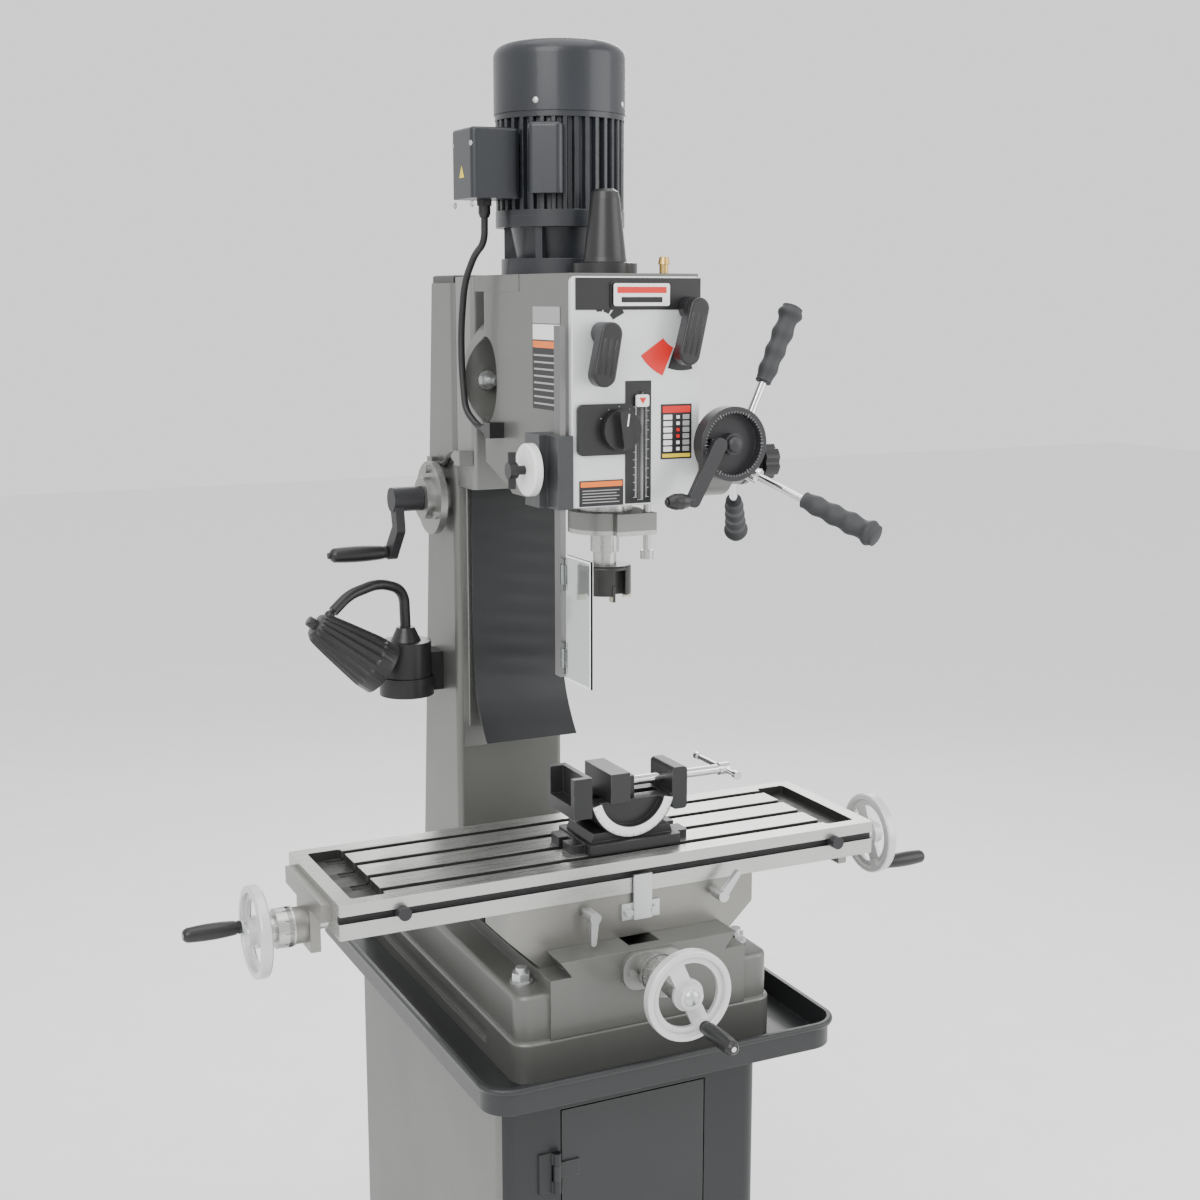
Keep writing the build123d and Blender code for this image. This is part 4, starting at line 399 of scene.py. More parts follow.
WHEEL = Finish("wheel_enamel", (0.6, 0.61, 0.6), 0.35, 0.35, 0.05, 500, 0.1, wear=0.2, edge=0.0014, coat=0.3)
PLASTIC = Finish("black_plastic", (0.014, 0.014, 0.015), 0.34, 0.0, 0.15, 900, 0.08, edge=0.0008)
DULL_BLACK = Finish("dull_black", (0.02, 0.02, 0.022), 0.5, 0.05, 0.2, 700, 0.2, wear=0.35, edge=0.001)
RUBBER = Finish("soft_rubber", (0.03, 0.032, 0.034), 0.62, 0.0, 0.2, 800, 0.15, edge=0.0008)
COVER_RUBBER = Finish("cover_rubber", (0.008, 0.009, 0.01), 0.36, 0.0, 0.3, 300, 0.12, edge=0.0006)
CABLE = Finish("cable_black", (0.015, 0.015, 0.016), 0.45, 0.0, 0.15, 500, 0.1, edge=0.0004)
PANEL = Finish("panel_silver", (0.66, 0.67, 0.68), 0.36, 0.3, 0.04, 800, 0.06, (1, 1, 0.05), edge=0.0012)
CLEAR = Finish("clear_guard", (0.62, 0.67, 0.66), 0.0, 0.0, 0.02, 40, 0.01, edge=0.0003, clear=0.97)
FLOOR = Finish("studio_floor", (0.9, 0.9, 0.9), 0.75, 0.0, 0.02, 30, 0.02)


class Ink(Enum):
    """Printed colours, without any lettering."""

    RED = (0.62, 0.015, 0.012)
    BLACK = (0.008, 0.008, 0.009)
    WHITE = (0.78, 0.78, 0.77)
    YELLOW = (0.75, 0.56, 0.03)
    ORANGE = (0.78, 0.17, 0.015)
    GREY = (0.32, 0.32, 0.32)

    def finish(self) -> Finish:
        """A printed finish in this colour.

        Returns:
            The finish.
        """
        return Finish(f"ink_{self.name.lower()}", self.value, 0.45, 0.0, 0.05, 900, 0.03, edge=0.0002)


# ------------------------------------------------------------------------------------------------- mesh makers
def into_scene(name: str, data: bpy.types.ID) -> bpy.types.Object:
    """Adds an object to the scene.

    Args:
        name: object name.
        data: its mesh, light or camera.

    Returns:
        The new object.
    """
    made = bpy.data.objects.new(name, data)
    bpy.context.scene.collection.objects.link(made)
    return made


def solid(
    name: str, points: list, faces: list, finish: Finish, body: str, smooth: bool = True
) -> bpy.types.Object:
    """Makes a piece from points and faces and lets it ride on a body.

    Args:
        name: piece name.
        points: vertices in the row frame.
        faces: index tuples, wound outwards.
        finish: its finish.
        body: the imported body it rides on.
        smooth: whether faces are shaded smooth up to a crease.

    Returns:
        The new object.
    """
    mesh = bpy.data.meshes.new(name)
    mesh.from_pydata([tuple(p) for p in points], [], faces)
    mesh.validate()
    mesh.materials.append(finish.material())
    if smooth:
        mesh.polygons.foreach_set("use_smooth", [True] * len(mesh.polygons))
        mesh.set_sharp_from_angle(angle=math.radians(38))
    made = into_scene(name, mesh)
    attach(made, body)
    return made


def basis(axis: Vector, origin: Vector) -> Matrix:
    """A frame whose Z runs along an axis.

    Args:
        axis: direction of Z.
        origin: its origin.

    Returns:
        The 4x4 matrix.
    """
    return Matrix.Translation(origin) @ axis.to_track_quat("Z", "Y").to_matrix().to_4x4()


def lathe(name: str, profile: list, origin: Vector, axis: Vector, finish: Finish, body: str, around: int = 48,
          ribs: int = 0, depth: float = 0.0, ribbed: tuple[float, float] = (0.0, 0.0)) -> bpy.types.Object:
    """Turns a profile about an axis, with ribs along part of it if asked.

    Args:
        name: piece name.
        profile: (radius, height) pairs from foot to top, closed on the axis where the radius is 0.
        origin: foot of the axis.
        axis: its direction.
        finish: the finish.
        body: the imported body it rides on.
        around: number of steps around.
        ribs: number of ribs.
        depth: depth of the valleys between ribs.
        ribbed: heights between which the ribs run.

    Returns:
        The new object.
    """
    place = basis(axis.normalized(), origin)
    points, faces = [], []
    for radius, height in profile:
        for step in range(around):
            turn = 2 * math.pi * step / around
            here = radius
            if ribs and ribbed[0] < height < ribbed[1]:
                here -= depth * (0.5 - 0.5 * math.cos(turn * ribs)) ** 0.6
            points.append(place @ Vector((here * math.cos(turn), here * math.sin(turn), height)))
    for row in range(len(profile) - 1):
        for step in range(around):
            after = (step + 1) % around
            low, high = row * around, (row + 1) * around
            faces.append((low + step, low + after, high + after, high + step))
    return solid(name, points, faces, finish, body)


def swells(start: tuple[float, float], end: tuple[float, float], bulges: list, steps: int = 40) -> list:
    """A smooth profile between two radii with bulges on it.

    Args:
        start: (radius, height) at the foot.
        end: (radius, height) at the top.
        bulges: (share of the height, extra radius, half width share) of each bulge.
        steps: number of rows.

    Returns:
        (radius, height) pairs.
    """
    rows = []
    for step in range(steps + 1):
        share = step / steps
        radius = start[0] + (end[0] - start[0]) * share
        for middle, extra, width in bulges:
            radius += extra * math.exp(-(((share - middle) / width) ** 2))
        rows.append((radius, start[1] + (end[1] - start[1]) * share))
    return rows


def cuboid(name: str, low: Point, high: Point, finish: Finish, body: str) -> bpy.types.Object:
    """A plain box between two corners.

    Args:
        name: piece name.
        low: lowest corner.
        high: highest corner.
        finish: the finish.
        body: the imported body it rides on.

    Returns:
        The new object.
    """
    points = [(x, y, z) for x in (low[0], high[0]) for y in (low[1], high[1]) for z in (low[2], high[2])]
    faces = [(0, 1, 3, 2), (4, 6, 7, 5), (0, 4, 5, 1), (2, 3, 7, 6), (0, 2, 6, 4), (1, 5, 7, 3)]
    return solid(name, points, faces, finish, body, smooth=False)


def plate(name: str, outline: list, front: float, thick: float, finish: Finish, body: str,
          normal: Axis = Axis.Y) -> bpy.types.Object:
    """A flat piece of any outline that faces -Y or -X.

    Args:
        name: piece name.
        outline: (x or y, z) pairs, anticlockwise as seen from the front.
        front: place of its front face along the normal axis.
        thick: thickness behind the front face.
        finish: the finish.
        body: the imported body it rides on.
        normal: the axis it faces against.

    Returns:
        The new object.
    """
    count = len(outline)
    if normal is Axis.Y:
        points = [(u, front, v) for u, v in outline] + [(u, front + thick, v) for u, v in outline]
    else:
        points = [(front, -u, v) for u, v in outline] + [(front + thick, -u, v) for u, v in outline]
    faces = [tuple(range(count)), tuple(reversed(range(count, 2 * count)))]
    faces += [(i, i + count, (i + 1) % count + count, (i + 1) % count) for i in range(count)]
    return solid(name, points, faces, finish, body, smooth=False)


def rounded(low: tuple, high: tuple, corner: float, steps: int = 5) -> list:
    """The outline of a rectangle with round corners, anticlockwise.

    Args:
        low: lowest (u, v).
        high: highest (u, v).
        corner: corner radius.
        steps: steps in each corner.

    Returns:
        (u, v) pairs.
    """
    outline = []
    centres = (
        (high[0] - corner, high[1] - corner),
        (low[0] + corner, high[1] - corner),
        (low[0] + corner, low[1] + corner),
        (high[0] - corner, low[1] + corner),
    )
    for quarter, (u, v) in enumerate(centres):
        for step in range(steps + 1):
            turn = math.pi / 2 * (quarter + step / steps)
            outline.append((u + corner * math.cos(turn), v + corner * math.sin(turn)))
    return outline


def sector(centre: tuple, inner: float, outer: float, start: float, end: float, steps: int = 14) -> list:
    """The outline of a ring's sector, anticlockwise.

    Args:
        centre: (u, v) of the ring.
        inner: inner radius.
        outer: outer radius.
        start: first angle in degrees.
        end: last angle in degrees.
        steps: steps along each arc.

    Returns:
        (u, v) pairs.
    """
    turns = [math.radians(start + (end - start) * step / steps) for step in range(steps + 1)]
    outline = [(centre[0] + outer * math.cos(t), centre[1] + outer * math.sin(t)) for t in turns]
    return outline + [
        (centre[0] + inner * math.cos(t), centre[1] + inner * math.sin(t)) for t in reversed(turns)
    ]


# ------------------------------------------------------------------------------------------------- scale marks
@dataclass
class MarkGroup:
    """A geometry node group that lays out the marks of a rule, a dial or an arc.

    Attributes:
        name: node group name.
    """

    name: str = "scale_marks"

    INPUTS = (
        ("Count", "NodeSocketInt"), ("Every", "NodeSocketInt"), ("Pitch", "NodeSocketFloat"), ("Turn", "NodeSocketFloat"),
        ("Radius", "NodeSocketFloat"), ("Short", "NodeSocketVector"), ("Long", "NodeSocketVector"),
        ("Anchor", "NodeSocketVector"), ("Material", "NodeSocketMaterial"),
    )

    def tree(self) -> bpy.types.NodeTree:
        """Builds the node group.

        Returns:
            The node group.
        """
        known = bpy.data.node_groups.get(self.name)
        if known is not None:
            return known
        made = bpy.data.node_groups.new(self.name, "GeometryNodeTree")
        for label, kind in self.INPUTS:
            made.interface.new_socket(label, in_out="INPUT", socket_type=kind)
        made.interface.new_socket("Geometry", in_out="OUTPUT", socket_type="NodeSocketGeometry")
        add, link = made.nodes.new, made.links.new
        given = add("NodeGroupInput").outputs
        index = add("GeometryNodeInputIndex").outputs[0]

        def maths(operation: str, first: object, second: object) -> bpy.types.NodeSocket:
            """One maths node of the group, with both inputs linked or set."""
            step = add("ShaderNodeMath")
            step.operation = operation
            for socket, value in zip(step.inputs, (first, second)):
                if isinstance(value, bpy.types.NodeSocket):
                    link(value, socket)
                else:
                    socket.default_value = value
            return step.outputs[0]

        line = add("GeometryNodeMeshLine")
        link(given["Count"], line.inputs["Count"])
        turn = maths("MULTIPLY", index, given["Turn"])
        place = add("ShaderNodeCombineXYZ")
        link(maths("MULTIPLY", maths("COSINE", turn, 0.0), given["Radius"]), place.inputs[0])
        rise = maths("MULTIPLY", maths("SINE", turn, 0.0), given["Radius"])
        link(maths("ADD", rise, maths("MULTIPLY", index, given["Pitch"])), place.inputs[1])
        put = add("GeometryNodeSetPosition")
        link(line.outputs[0], put.inputs["Geometry"])
        link(place.outputs[0], put.inputs["Position"])
        spin = add("ShaderNodeCombineXYZ")
        link(turn, spin.inputs[2])
        longer = maths("LESS_THAN", maths("MODULO", index, given["Every"]), 0.5)
        size = add("ShaderNodeMix")
        size.data_type = "VECTOR"
        link(longer, size.inputs[0])
        link(given["Short"], size.inputs[4])
        link(given["Long"], size.inputs[5])
        offset = add("ShaderNodeVectorMath")
        offset.operation = "MULTIPLY"
        link(size.outputs[1], offset.inputs[0])
        link(given["Anchor"], offset.inputs[1])
        stamp = add("GeometryNodeInstanceOnPoints")
        link(put.outputs[0], stamp.inputs["Points"])
        link(add("GeometryNodeMeshCube").outputs[0], stamp.inputs["Instance"])
        link(spin.outputs[0], stamp.inputs["Rotation"])
        shift = add("GeometryNodeTranslateInstances")
        link(stamp.outputs[0], shift.inputs["Instances"])
        link(offset.outputs[0], shift.inputs["Translation"])
        grow = add("GeometryNodeScaleInstances")
        link(shift.outputs[0], grow.inputs["Instances"])
        link(size.outputs[1], grow.inputs["Scale"])
        real = add("GeometryNodeRealizeInstances")
        link(grow.outputs[0], real.inputs[0])
        coloured = add("GeometryNodeSetMaterial")
        link(real.outputs[0], coloured.inputs["Geometry"])
        link(given["Material"], coloured.inputs["Material"])
        link(coloured.outputs[0], add("NodeGroupOutput").inputs[0])
        return made

    def make(self, name: str, place: Matrix, body: str, **values: object) -> bpy.types.Object:
        """Makes one set of marks as a plain mesh that rides on a body.

        Args:
            name: piece name.
            place: where the group's origin and axes lie in the row frame.
            body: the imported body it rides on.
            values: the group's inputs by name.

        Returns:
            The new object.
        """
        tree = self.tree()
        holder = into_scene(name + "_maker", bpy.data.meshes.new(name + "_seed"))
        modifier = holder.modifiers.new("marks", "NODES")
        modifier.node_group = tree
        for item in tree.interface.items_tree:
            if item.in_out == "INPUT" and item.name in values:
                modifier[item.identifier] = values[item.name]
        graph = bpy.context.evaluated_depsgraph_get()
        mesh = bpy.data.meshes.new_from_object(holder.evaluated_get(graph), depsgraph=graph)
        holder.modifiers.remove(modifier)
        bpy.data.objects.remove(holder)
        mesh.transform(place)
        mesh.name = name
        made = into_scene(name, mesh)
        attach(made, body)
        return made


MARKS = MarkGroup()


def facing_front(x: float, y: float, z: float) -> Matrix:
    """A frame on a surface that faces -Y: its X runs right, its Y up and its Z towards the operator.

    Args:
        x: place along X.
        y: place along Y.
        z: place along Z.

    Returns:
        The 4x4 matrix.
    """
    turn = Matrix(((1, 0, 0, 0), (0, 0, -1, 0), (0, 1, 0, 0), (0, 0, 0, 1)))
    return Matrix.Translation((x, y, z)) @ turn


def paint(finish: Finish, *nodes: str) -> None:
    """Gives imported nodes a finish.

    Args:
        finish: the finish.
        nodes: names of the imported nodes.
    """
    for name in nodes:
        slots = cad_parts[name].data.materials
        slots.clear()
        slots.append(finish.material())


@dataclass
class SubAssembly:
    """A part of the machine. Subclasses fill in dress() and build()."""

    name: str = "part"
    pieces: list = field(default_factory=list)

    def dress(self) -> None:
        """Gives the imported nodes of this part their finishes."""

    def build(self) -> None:
        """Makes the extra pieces of this part."""

    def keep(self, made: bpy.types.Object) -> bpy.types.Object:
        """Notes a piece as belonging to this part.

        Args:
            made: the piece.

        Returns:
            The same piece.
        """
        self.pieces.append(made.name)
        return made

    def run(self) -> None:
        """Dresses and builds the part and logs its pieces."""
        self.dress()
        self.build()
        print(f"{self.name}: {len(self.pieces)} pieces {', '.join(self.pieces)}")


# ------------------------------------------------------------------------------------------------- grips
def barrel_grip(name: str, node: str, body: str, axis: Axis, sign: int) -> bpy.types.Object:
    """A smooth turning grip in place of a packed one.

    Args:
        name: piece name.
        node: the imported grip.
        body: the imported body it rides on.
        axis: the direction it lies along.
        sign: +1 if its free end points along the axis, -1 if against it.

    Returns:
        The new object.
    """
    low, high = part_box(node)
    middle = (low + high) / 2
    length = (high - low).dot(axis.vector)
    radius = min((high - low)[i] for i in range(3)) / 2
    origin = middle - axis.vector * sign * length / 2
    rows = [(0.0, 0.0), (radius * 0.72, 0.0), (radius * 0.8, 0.002), (radius * 0.8, 0.004)]
    rows += [(radius * 0.72, 0.0045), (radius * 0.72, 0.0062), (radius * 0.82, 0.0068)]
    for step in range(1, 21):
        share = step / 20
        swell = 0.82 + 0.18 * math.sin(math.pi * min(1, share * 0.95)) ** 0.8
        rows.append((radius * swell, 0.0068 + (length - 0.012) * share))
    rows += [
        (radius * 0.7, length - 0.002), (radius * 0.5, length), (radius * 0.34, length),
        (radius * 0.3, length - 0.003)
    ]
    rows.append((0.0, length - 0.003))
    made = lathe(name, rows, origin, axis.vector * sign, PLASTIC, body)
    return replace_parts(made, node)


# ------------------------------------------------------------------------------------------------- sub-assemblies
@dataclass
class StandAndBase(SubAssembly):
    """Cabinet, tray, base casting and column."""

    name: str = "stand and base"

    def dress(self) -> None:
        """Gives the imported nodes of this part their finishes."""
        low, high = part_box("stand_cabinet")
        front = Zone(
            (low.x + 0.001, low.y - 0.02, 0.0), (high.x - 0.001, low.y + 0.02, high.z), (0.012, 0.013, 0.014),
            0.45, 0.0
        )
        paint(replace(STAND, zones=(front,)), "stand_cabinet")
        paint(SHEET_BLACK, "stand_door", "chip_tray")
        paint(CAST, "base_casting")
        low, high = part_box("column")
        cap = Zone(
            (-0.087, low.y + 0.02, high.z - 0.0125), (0.087, high.y, high.z + 0.01), (0.02, 0.02, 0.022), 0.5,
            0.0
        )
        ways = Zone(
            (-0.0805, low.y - 0.001, 1.1), (0.0805, low.y + 0.0225, high.z), (0.33, 0.33, 0.32), 0.32, 0.9
        )
        paint(replace(CAST, name="column_grey", zones=(cap, ways)), "column")
        paint(ZINC, "base_studs")
        paint(replace(MILLED, name="bracket_iron", base=(0.3, 0.3, 0.29)), "screw_brackets")

    def build(self) -> None:
        """Makes the extra pieces of this part."""
        low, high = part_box("way_cover")
        self.keep(self.cover(low, high))
        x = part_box("stand_door")[1].x - 0.03
        rows = [(0, 0), (0.013, 0), (0.013, 0.003), (0.009, 0.004), (0.008, 0.006), (0, 0.006)]
        latch = lathe("door_latch", rows, Vector((x, -0.31, 0.42)), -Axis.Y.vector, ZINC, "door")
        self.keep(latch)

    def cover(self, low: Vector, high: Vector) -> bpy.types.Object:
        """The rubber way cover, gently waved and flared at its foot.

        Args:
            low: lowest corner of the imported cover.
            high: highest corner.

        Returns:
            The new object.
        """
        wide, tall, thick = 14, 60, 0.0024
        back = high.y - 0.0004
        points, faces = [], []
        for layer in (0.0, thick):
            for row in range(tall + 1):
                z = low.z + (high.z - low.z) * row / tall
                flare = max(0.0, 1 - (z - low.z) / 0.13)
                for column in range(wide + 1):
                    across = column / wide
                    wave = 0.0016 * math.sin(z * 95 + across * 1.7) * (1 - flare) * math.sin(math.pi * across)
                    curl = (back - low.y - 0.004) * flare ** 2.1
                    x = low.x + (high.x - low.x) * across
                    points.append((x, back - layer - curl - abs(wave) - 0.0006, z))
        span = wide + 1
        step = span * (tall + 1)
        for row in range(tall):
            for column in range(wide):
                a = row * span + column
                faces.append((a, a + span, a + span + 1, a + 1))
                faces.append((a + step, a + step + 1, a + step + span + 1, a + step + span))
        rim = [row * span for row in range(tall + 1)] + [tall * span + c for c in range(1, span)]
        rim += [row * span + wide for row in range(tall - 1, -1, -1)] + list(range(wide - 1, 0, -1))
        for first, second in zip(rim, rim[1:] + rim[:1]):
            faces.append((first, first + step, second + step, second))
        made = solid("way_cover_rubber", points, faces, COVER_RUBBER, "stand")
        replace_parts(made, "way_cover")
        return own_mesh(made)


@dataclass
class TableAndSaddle(SubAssembly):
    """Saddle, table, screws, handwheels, stops and levers."""

    name: str = "table and saddle"

    def dress(self) -> None:
        """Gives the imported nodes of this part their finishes."""
        low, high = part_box("table")
        # Painted shade: the T-slots are darker below the top face, standing in for the shade that falls inside them.
        slots = tuple(
            Zone(
                (low.x + 0.03, y - 0.0115, high.z - 0.03), (high.x - 0.03, y + 0.0115, high.z - 0.0012),
                (0.03, 0.03, 0.028), 0.5, 0.3
            )
            for y in (-0.274, -0.218, -0.162, -0.106)
        )
        # Painted shade: the troughs at both ends are darker below the top face, where shade falls in them.
        pan_shade = tuple(
            Zone(
                (x, low.y + 0.015, high.z - 0.016), (x + 0.0525, high.y - 0.015, high.z - 0.001),
                (0.035, 0.035, 0.033), 0.45, 0.4
            )
            for x in (low.x + 0.019, high.x - 0.0715)
        )
        # Painted shade: the groove along the front face is darker, standing in for the shade that falls in it.
        groove_shade = Zone(
            (low.x - 0.001, low.y + 0.0005, high.z - 0.0262),
            (high.x + 0.001, low.y + 0.009, high.z - 0.0158), (0.02, 0.02, 0.02), 0.5
        )
        paint(replace(GROUND, name="table_steel", zones=slots + pan_shade + (groove_shade,)), "table")
        paint(MILLED, "saddle", "end_brackets")
        paint(ZINC, "saddle_fittings", "table_lock_left", "table_lock_right")
        paint(DULL_BLACK, "table_stop_left", "table_stop_right")
        paint(TURNED, "x_screw", "y_screw", "z_screw")
        paint(WHEEL, "x_handwheels", "y_wheel")
        paint(DULL_BLACK, "z_crank")

    def build(self) -> None:
        """Makes the extra pieces of this part."""
        self.keep(barrel_grip("grip_left", "x_grip_left", "x_grip_left", Axis.X, -1))
        self.keep(barrel_grip("grip_right", "x_grip_right", "x_grip_right", Axis.X, 1))
        self.keep(barrel_grip("grip_front", "y_grip", "y_grip", Axis.Y, -1))
        self.keep(barrel_grip("grip_crank", "z_crank_grip", "z_crank_grip", Axis.X, -1))
        ink = Ink.BLACK.finish().material()
        dials = (
            ("dial_marks_left", Vector((-0.4575, *LONG_SCREW)), -Axis.X.vector, "x_screw"),
            ("dial_marks_right", Vector((0.4295, *LONG_SCREW)), Axis.X.vector, "x_screw"),
            (
                "dial_marks_front", Vector((CROSS_SCREW[0], -0.3835, CROSS_SCREW[1])), -Axis.Y.vector,
                "y_screw"
            ),
        )
        for name, origin, axis, body in dials:
            made = MARKS.make(
                name, basis(axis, origin), body, Count=100, Every=10, Turn=math.tau / 100, Radius=0.02702,
                Short=(0.0003, 0.0005, 0.006), Long=(0.0003, 0.0008, 0.011), Anchor=(0, 0, 0.5), Material=ink,
            )
            self.keep(made)
        self.wheel_nuts()

    def wheel_nuts(self) -> None:
        """The domed nuts that hold the handwheels on their screws."""
        spots = (
            ("wheel_nut_left", Vector((-0.5145, *LONG_SCREW)), -Axis.X.vector, "x_screw"),
            ("wheel_nut_right", Vector((0.4865, *LONG_SCREW)), Axis.X.vector, "x_screw"),
            ("wheel_nut_front", Vector((CROSS_SCREW[0], -0.4765, CROSS_SCREW[1])), -Axis.Y.vector, "y_screw"),
        )
        rows = [
            (0, -0.004), (0.012, -0.004), (0.012, 0.0), (0.0105, 0.002), (0.008, 0.0045), (0.004, 0.006),
            (0, 0.0064)
        ]
        for name, origin, axis, body in spots:
            self.keep(lathe(name, rows, origin, axis, ZINC, body))


@dataclass
class Head(SubAssembly):
    """Head casting, front panel, knob and levers."""

    name: str = "head"
    body: str = "head"

    def dress(self) -> None:
        """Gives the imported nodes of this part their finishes."""
        paint(CAST, "head_housing")
        paint(SLIDE, "head_carriage")
        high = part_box("head_housing")[1]
        cup = Zone(
            (0.03, -0.30, high.z - 0.0002), (0.08, -0.26, high.z + 0.05), (0.55, 0.37, 0.12), 0.3, 0.95
        )
        studs = Zone((-0.1, -0.03, 1.66), (0.1, 0.05, 1.71), (0.55, 0.56, 0.56), 0.3, 0.9)
        paint(replace(PLASTIC, name="fitting_black", zones=(cup, studs)), "head_fittings")
        paint(PANEL, "head_panel")
        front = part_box("panel_plates")[0].y
        name_plate = Zone(
            (-0.05, front - 0.001, 1.78), (0.05, front + 0.0019, 1.83), (0.55, 0.55, 0.54), 0.35, 0.3
        )
        paint(replace(PLASTIC, name="plate_black", zones=(name_plate,)), "panel_plates")
        paint(PLASTIC, "switch_knob", "gear_lever_left", "gear_lever_right", "drawbar_cover")
        paint(TURNED, "spindle_gear", "idler_gear", "motor_rotor", "spindle")
        collar = Zone((-0.06, -0.31, 1.49), (0.06, -0.15, 1.5145), (0.22, 0.22, 0.21), 0.4, 0.85)
        tag = Zone((-0.01, -0.33, 1.65), (0.03, -0.30, 1.70), Ink.WHITE.value, 0.45, 0.0)
        paint(replace(TURNED, name="quill_steel", zones=(collar, tag)), "quill")
        low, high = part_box("face_mill")
        tips = Zone(
            (low.x, low.y, low.z - 0.001), (high.x, high.y, low.z + 0.0075), (0.6, 0.56, 0.45), 0.3, 0.8
        )
        paint(
            replace(
                DULL_BLACK, name="cutter_black", base=(0.05, 0.05, 0.048), metal=0.7, rough=0.35,
                zones=(tips,)
            ),
            "face_mill"
        )

    def build(self) -> None:
        """Makes the extra pieces of this part."""
        self.name_plate(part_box("panel_plates")[0].y)
        self.rule(PLATE_FACE)
        self.chart(PLATE_FACE)
        self.notice(PLATE_FACE)
        self.fans()
        self.switch()
        self.side_labels()
        self.lever_ribs()

    def print_plate(self, name: str, outline: list, front: float, ink: Ink, body: str = "head") -> None:
        """Adds one flat printed patch.

        Args:
            name: piece name.
            outline: (x, z) pairs.
            front: Y of its front face.
            ink: its colour.
            body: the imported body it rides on.
        """
        self.keep(plate(name, outline, front, PRINT_THICK, ink.finish(), body))

    def name_plate(self, front: float) -> None:
        """Frame and two blank bands of the name plate.

        Args:
            front: Y of the plate's face.
        """
        low, high = (-0.040, 1.789), (0.048, 1.824)
        self.print_plate(
            "name_face", rounded((low[0] + 0.003, low[1] + 0.003), (high[0] - 0.003, high[1] - 0.003), 0.003),
            front - 0.0003, Ink.WHITE
        )
        self.print_plate(
            "name_band_top", rounded((low[0] + 0.008, 1.8085), (high[0] - 0.008, 1.8165), 0.001),
            front - 0.0006, Ink.RED
        )
        self.print_plate(
            "name_band_low", rounded((low[0] + 0.014, 1.7965), (high[0] - 0.014, 1.8035), 0.001),
            front - 0.0006, Ink.BLACK
        )

    def rule(self, front: float) -> None:
        """Depth rule marks on both sides of the pointer's slot.

        Args:
            front: Y of the plate's face.
        """
        ink = Ink.WHITE.finish().material()
        for name, x, count, every, pitch in (
            ("rule_marks_inch", 0.0125, 81, 8, 0.0254 / 16), ("rule_marks_metric", -0.0005, 128, 10, 0.001)
        ):
            flip = 1.0 if x > 0.005 else -1.0
            made = MARKS.make(
                name, facing_front(x, front, 1.541), self.body, Count=count, Every=every, Pitch=pitch, Turn=0.0, Radius=0.0,
                Short=(0.0025, 0.0003, 0.0003), Long=(0.005, 0.0004, 0.0003), Anchor=(0.5 * flip, 0, 0), Material=ink,
            )
            self.keep(made)
        arrow = [(0.0005, 1.673), (0.0055, 1.665), (0.0105, 1.673)]
        self.print_plate("pointer_arrow", arrow, POINTER_FACE, Ink.RED, "quill")

    def chart(self, front: float) -> None:
        """Speed chart as rows of plain blocks.

        Args:
            front: Y of the plate's face.
        """
        self.print_plate(
            "chart_head", rounded((0.038, 1.6515), (0.080, 1.6605), 0.001), front - 0.0002, Ink.RED
        )
        self.print_plate(
            "chart_foot", rounded((0.038, 1.592), (0.080, 1.597), 0.0008), front - 0.0002, Ink.YELLOW
        )
        for row in range(6):
            z = 1.600 + row * 0.0085
            self.print_plate(
                f"chart_speed_{row}", rounded((0.0395, z), (0.0525, z + 0.0065), 0.0006), front - 0.0002,
                Ink.WHITE
            )
            ink = Ink.RED if row in (2, 3) else Ink.WHITE
            self.print_plate(
                f"chart_lever_{row}", rounded((0.059, z + 0.001), (0.064, z + 0.0055), 0.0006),
                front - 0.0002, ink
            )
            self.print_plate(
                f"chart_gear_{row}", rounded((0.0685, z), (0.0785, z + 0.0065), 0.0006), front - 0.0002,
                Ink.GREY
            )

    def notice(self, front: float) -> None:
        """Notice plate with a coloured head and plain lines.

        Args:
            front: Y of the plate's face.
        """
        self.print_plate(
            "notice_head", rounded((-0.0825, 1.5575), (-0.0215, 1.5645), 0.001), front - 0.0002, Ink.ORANGE
        )
        for row in range(5):
            z = 1.5365 + row * 0.0039
            self.print_plate(
                f"notice_line_{row}", rounded((-0.080, z), (-0.026 - 0.004 * (row % 2), z + 0.0012), 0.0003),
                front - 0.0002, Ink.GREY
            )

    def fans(self) -> None:
        """Position tabs of the left lever and the sectors of the right one."""
        centre = (LEFT_LEVER[0], LEFT_LEVER[1] + 0.008)
        for index, start in enumerate((28, 56, 84)):
            self.print_plate(
                f"lever_tab_{index}", sector(centre, 0.020, 0.0385, start, start + 22), PRINT_FACE, Ink.BLACK
            )
        self.print_plate("lever_sector_red", sector(RIGHT_FAN, 0.034, 0.074, 214, 247), PRINT_FACE, Ink.RED)
        self.print_plate(
            "lever_sector_black", sector(RIGHT_FAN, 0.034, 0.062, 250, 285), PRINT_FACE, Ink.BLACK
        )

    def switch(self) -> None:
        """Marks around the rotary switch and the line on its bar."""
        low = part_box("switch_knob")[0]
        x, z = SWITCH
        ink = Ink.GREY.finish().material()
        made = MARKS.make(
            "switch_marks", facing_front(x, SWITCH_FACE, z) @ Matrix.Rotation(math.radians(30), 4, "Z"), self.body,
            Count=5, Every=2, Pitch=0.0, Turn=math.radians(30), Radius=0.0305,
            Short=(0.001, 0.001, 0.0004), Long=(0.0016, 0.0012, 0.0004), Anchor=(0.0, 0, 0), Material=ink,
        )
        self.keep(made)
        turn = math.radians(-8)
        near, far = 0.006, 0.022
        points = []
        for reach, half in ((near, 0.0009), (far, 0.0009)):
            for side in (-1, 1):
                u, v = side * half, reach
                points.append(
                    (x + u * math.cos(turn) - v * math.sin(turn), z + u * math.sin(turn) + v * math.cos(turn))
                )
        outline = [points[0], points[1], points[3], points[2]]
        self.print_plate("switch_line", outline, low.y - 0.0003, Ink.WHITE, "switch_knob")

